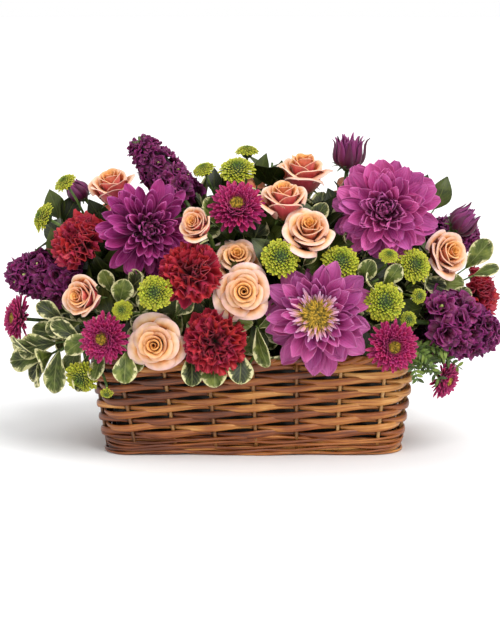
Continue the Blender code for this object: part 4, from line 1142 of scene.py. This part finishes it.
def growFiller():
    # shorter leaves low in the mound, which close the gaps between the heads
    blooms = allHeads()
    rng = random.Random(900)
    bags = {"pittosporum": newBag(), "salal": newBag()}
    stems = newBag()
    middle, reach = vec(filler["middle"]), vec(filler["reach"])
    for i in range(filler["count"]):
        high = mixed(-0.30, 0.985, (i + 0.5) / filler["count"])
        angle = i * goldenAngle
        flat = math.sqrt(max(0.0, 1 - high * high))
        ray = vec(flat * math.cos(angle), flat * math.sin(angle), high)
        skin = middle + ray * reach * rng.uniform(0.60, 0.93)
        outward = unit(ray / reach * 100)
        turn = unit(vec(rng.uniform(-1, 1), rng.uniform(-1, 1), rng.uniform(-0.4, 1)))
        way = unit(outward * 0.55 + turn * 0.8)
        length = rng.uniform(*filler["length"])
        root, tip = skin - way * length * 0.5, skin + way * length * 0.5
        if min(root[2], tip[2]) < filler["lowest"] or not clearOfHeads(root, tip, blooms, 0.55):
            continue
        kind = "pittosporum" if rng.random() < (0.62 if high < 0.35 else 0.25) else "salal"
        addLeaf(bags[kind], root, tip, length * filler["width"], rng, kind, rng.uniform(-0.5, 0.5), outward)
        tube(stems, curve(foamEntry(root) + up * 2, up * 50, root, way * 30, 6), 1.0, sides=5)
    print("filler leaves:", bags["pittosporum"]["cells"] // 2, bags["salal"]["cells"] // 2)
    for kind, leaf in leafOf.items():
        buildPiece(f"filler_{kind}_leaves", bags[kind], [leaf, leaf], [])
    buildPiece("filler_stems", stems, [stemGreen], [])


# The basket

basket = {
    "foot": (307.0, 182.0), "rim": (332.0, 204.0), "corner": 34.0, "footTop": 19.0, "wallTop": 95.0,
    "inset": 4.5,                                  # the wall's middle, in from its outside
    "rows": 11, "wave": 3.1, "weaver": (1.6, 3.95), "stakes": 22, "stakeRadius": 1.8,
    "waleRods": 7, "waleRadius": 1.45, "waleStep": 2.65, "waleInsets": (3.2, 6.6),
    "rimLoop": (325.0, 197.0, 32.0), "rimHeight": 100.0, "rimStrands": 3, "strandRadius": 2.9,
    "strandLay": 42.0,
    "sticks": 4, "stickRadius": 2.4, "stickReach": 139.0, "stickSpread": 54.0,
    "baseRods": 58, "baseRodRadius": 1.95, "baseRodReach": 78.0, "baseRodSpread": 138.0, "baseHeight": 4.2,
}


def roundedLoop(length, width, radius, count):
    # count points evenly spaced round a rounded rectangle, the way out at each, and its whole length
    a, b = length / 2 - radius, width / 2 - radius
    quarter = radius * math.pi / 2
    runs = [("side", 2 * b), ("turn", quarter), ("side", 2 * a), ("turn", quarter)] * 2
    total = sum(run for _, run in runs)
    corners = [(a, -b), (a, b), (-a, b), (-a, -b)]
    points, ways = [], []
    for i in range(count):
        left = (i / count) * total
        for number, (kind, run) in enumerate(runs):
            if left <= run:
                break
            left -= run
        quarterTurn = number // 2
        if kind == "side":
            heading = quarterTurn * math.pi / 2
            out = np.array([math.cos(heading), math.sin(heading)])
            ahead = np.array([-math.sin(heading), math.cos(heading)])
            spot = np.array(corners[quarterTurn]) + out * radius + ahead * left
        else:
            heading = quarterTurn * math.pi / 2 + left / radius
            out = np.array([math.cos(heading), math.sin(heading)])
            spot = np.array(corners[(quarterTurn + 1) % 4]) + out * radius
        points.append(spot)
        ways.append(out)
    return np.array(points), np.array(ways), total


def wallLoop(z, inset, count):
    share = z / basket["wallTop"]
    length, width = [mixed(foot, rim, share) - 2 * inset for foot, rim in zip(basket["foot"], basket["rim"])]
    return roundedLoop(length, width, basket["corner"] - inset, count)


def beside(spots, out, push, height):
    # a line that runs push outside a loop of spots, at a height of its own in each place
    return np.concatenate([spots + out * push[:, None], height[:, None]], axis=1)


# the border, weave and waling are of round rods; the stakes are split, so paler and more even
willow = willowMaterial("buff_willow_rod", ((0.10, "#2a1106"), (0.36, "#6b3210"), (0.58, "#98521e"),
                                            (0.78, "#bd7c38"), (0.95, "#dca45c")))
splitWillow = willowMaterial("split_willow_stake", ((0.15, "#4a2710"), (0.45, "#8a5a2c"), (0.75, "#b98a50"),
                                                    (0.95, "#d5ab70")), tones=0.3)


def weaveWall(rng):
    # One flattened rod to a row, over one stake and behind the next, and the other way in the next row
    stakes, perStake = basket["stakes"], 24
    steps = stakes * perStake
    turn = np.arange(steps) / steps
    thin, tall = basket["weaver"]
    pitch = (basket["wallTop"] - basket["footTop"]) / basket["rows"]
    ring = np.linspace(0, 2 * math.pi, 10, endpoint=False)
    weave, uprights = newBag(), newBag()
    for row in range(basket["rows"]):
        z = basket["footTop"] + (row + 0.5) * pitch
        spots, out, total = wallLoop(z, basket["inset"], steps)
        phase = turn * stakes * math.pi + row * math.pi
        swell = np.cos(phase)
        jitter = np.interp(turn * 24, np.arange(25), [rng.uniform(-0.5, 0.5) for _ in range(24)] + [0.0])
        lift = 1.35 * np.sin(phase) + 0.7 * jitter   # each length climbs a little as it comes forward
        line = beside(spots, out, basket["wave"] * swell, z + lift)
        # flattened: thin outwards, tall upwards
        height = tall * (0.80 + 0.20 * swell) * (1 + 0.14 * jitter)
        outwards = out[:, None, :] * np.cos(ring)[None, :, None] * thin
        upwards = (np.sin(ring)[None, :] * height[:, None])[..., None]
        points = np.concatenate([line[:, None, :2] + outwards, line[:, None, 2:] + upwards], axis=2)
        # each row is cut into the lengths that show between two stakes, so that their colours differ
        for bulge in range(stakes // 2):
            middle = (2 * bulge + row % 2) * perStake
            reach = np.arange(middle - 26, middle + 27) % steps
            addSheet(weave, points[reach][:, ::-1], rng.random(), closed=True,
                     length=total / 1000 * len(reach) / steps)
    # upright stakes, between the inside and outside bulges of the rows
    levels = np.linspace(basket["footTop"] - 12, basket["wallTop"] + 3, 7)
    loops = [wallLoop(z, basket["inset"], stakes) for z in levels]
    for number in range(stakes):
        line = [[*loop[0][number], z] for loop, z in zip(loops, levels)]
        tube(uprights, line, basket["stakeRadius"], sides=8, tone=rng.random(), length=0.08)
    buildPiece("basket_weave", weave, [willow], ["basket_wall"])
    buildPiece("basket_stakes", uprights, [splitWillow], ["basket_wall"])


def weaveFoot(rng):
    # Waling at the foot: thin rods in long sweeps, which cross over their neighbours
    wales = newBag()
    count, radius, layers = 420, basket["waleRadius"], basket["waleRods"]
    s = np.arange(count) / count * 2 * math.pi
    for rod in range(layers * 2):
        layer = rod % layers
        outer = rod < layers
        z = radius + 0.4 + layer * basket["waleStep"]
        spots, out, total = wallLoop(z, basket["waleInsets"][0 if outer else 1], count)
        turns = 6 + layer % 2
        rise = (1.9 if outer else 1.2) * np.sin(s * turns + rod * 2.4) + 0.7 * np.sin(s * 3 + rod)
        rise = np.maximum(rise, radius * 1.16 + 0.1 - z)   # never below the table
        push = 1.7 * np.cos(s * turns + rod * 2.4) + 0.5 * np.cos(s * 11 + rod)
        tube(wales, beside(spots, out, push, z + rise), radius * (1 + 0.16 * np.sin(s * 4 + rod)), sides=8,
             tone=rng.random(), cyclic=True, length=total / 1000)
    buildPiece("basket_waling", wales, [willow], ["basket_foot_wale"])


def weaveRim(rng):
    # three strands laid round each other
    rim = newBag()
    count = 900
    spots, out, total = roundedLoop(*basket["rimLoop"], count)
    lays = round(total / basket["strandLay"])
    for strand in range(basket["rimStrands"]):
        angle = np.arange(count) / count * lays * 2 * math.pi + strand * 2 * math.pi / basket["rimStrands"]
        line = beside(spots, out, 2.6 * np.cos(angle), basket["rimHeight"] + 2.3 * np.sin(angle))
        tube(rim, line, basket["strandRadius"], sides=9, tone=rng.random(), cyclic=True, length=total / 1000)
    buildPiece("basket_rim_border", rim, [willow], ["basket_rim"])


def weaveBase(rng):
    # rods across, woven over long sticks
    base = newBag()
    b = basket
    last = b["sticks"] - 1
    for number in range(b["sticks"]):
        y = mixed(-b["stickSpread"], b["stickSpread"], number / last)
        tube(base, [[x, y, b["baseHeight"]] for x in np.linspace(-b["stickReach"], b["stickReach"], 12)],
             b["stickRadius"], tone=rng.random(), length=0.27)
    for number in range(b["baseRods"]):
        x = mixed(-b["baseRodSpread"], b["baseRodSpread"], number / (b["baseRods"] - 1))
        line = []
        for y in np.linspace(-b["baseRodReach"], b["baseRodReach"], 25):
            stick = (y + b["stickSpread"]) / (2 * b["stickSpread"] / last)
            line.append([x, y, b["baseHeight"] + 2.0 * math.cos(stick * math.pi + number * math.pi)])
        tube(base, line, b["baseRodRadius"], sides=7, tone=rng.random(), flat=1.1, length=0.16)
    buildPiece("basket_base_weave", base, [willow], ["basket_base"])


rng = random.Random(7)
for weave in (weaveWall, weaveFoot, weaveRim, weaveBase):
    weave(rng)
print("basket woven")
growFlowers()
print("flowers grown")
growStocks()
growSprigs()
growFiller()
print("foliage grown")


# Floor, light and camera

studio = {
    "floorRadius": 40.0, "floor": "#f2f2f2", "nearHorizon": 1.0, "overhead": 0.42,
    # where each soft lamp stands, how wide it looks in degrees, and its strength
    "lamps": {"key": ((1.1, -1.3, 1.9), 45.0, 2.7), "fill": ((-1.2, -1.4, 0.9), 70.0, 0.6),
              "top": ((0.0, 0.3, 1.0), 60.0, 0.9), "back": ((-0.3, 1.0, 0.8), 60.0, 0.5)},
}
view = {"aim": (-0.003, 0.0, 0.133), "distance": 2.1, "elevation": 9.0, "lens": 115.2, "sensor": 36.0}


def buildStudio():
    bpy.ops.mesh.primitive_circle_add(vertices=96, radius=studio["floorRadius"], fill_type='NGON')
    floor = bpy.context.object
    floor.name = "studio_floor"
    paper, _ = newMaterial("matt_studio_paper", Roughness=0.9, Base_Color=srgb(studio["floor"]))
    floor.data.materials.append(paper)
    for name, (place, spread, strength) in studio["lamps"].items():
        lamp = bpy.data.lights.new(name, 'SUN')
        lamp.energy = strength
        lamp.angle = math.radians(spread)
        holder = bpy.data.objects.new(name, lamp)
        bpy.context.scene.collection.objects.link(holder)
        holder.rotation_euler = (-Vector(place)).to_track_quat('-Z', 'Y').to_euler()
    # white paper all round, with the light falling off overhead
    world = bpy.data.worlds.new("studio_air")
    world.use_nodes = True
    tree = world.node_tree
    height = addNode(tree, "SeparateXYZ", addNode(tree, "TexCoord"), out="Z")
    fall = addNode(tree, "MapRange", height, 0.06, 0.30, studio["nearHorizon"], studio["overhead"])
    tree.links.new(fall, tree.nodes["Background"].inputs["Strength"])
    tree.nodes["Background"].inputs["Color"].default_value = (1.0, 1.0, 1.0, 1.0)
    bpy.context.scene.world = world
    bpy.context.scene.view_settings.view_transform = 'Standard'
    lens = bpy.data.cameras.new("camera")
    lens.sensor_fit = 'VERTICAL'
    lens.sensor_height = view["sensor"]
    lens.lens = view["lens"]
    camera = bpy.data.objects.new("camera", lens)
    bpy.context.scene.collection.objects.link(camera)
    rise = math.radians(view["elevation"])
    back = Vector((0.0, -math.cos(rise), math.sin(rise)))
    camera.location = Vector(view["aim"]) + back * view["distance"]
    camera.rotation_euler = (-back).to_track_quat('-Z', 'Y').to_euler()
    bpy.context.scene.camera = camera


buildStudio()
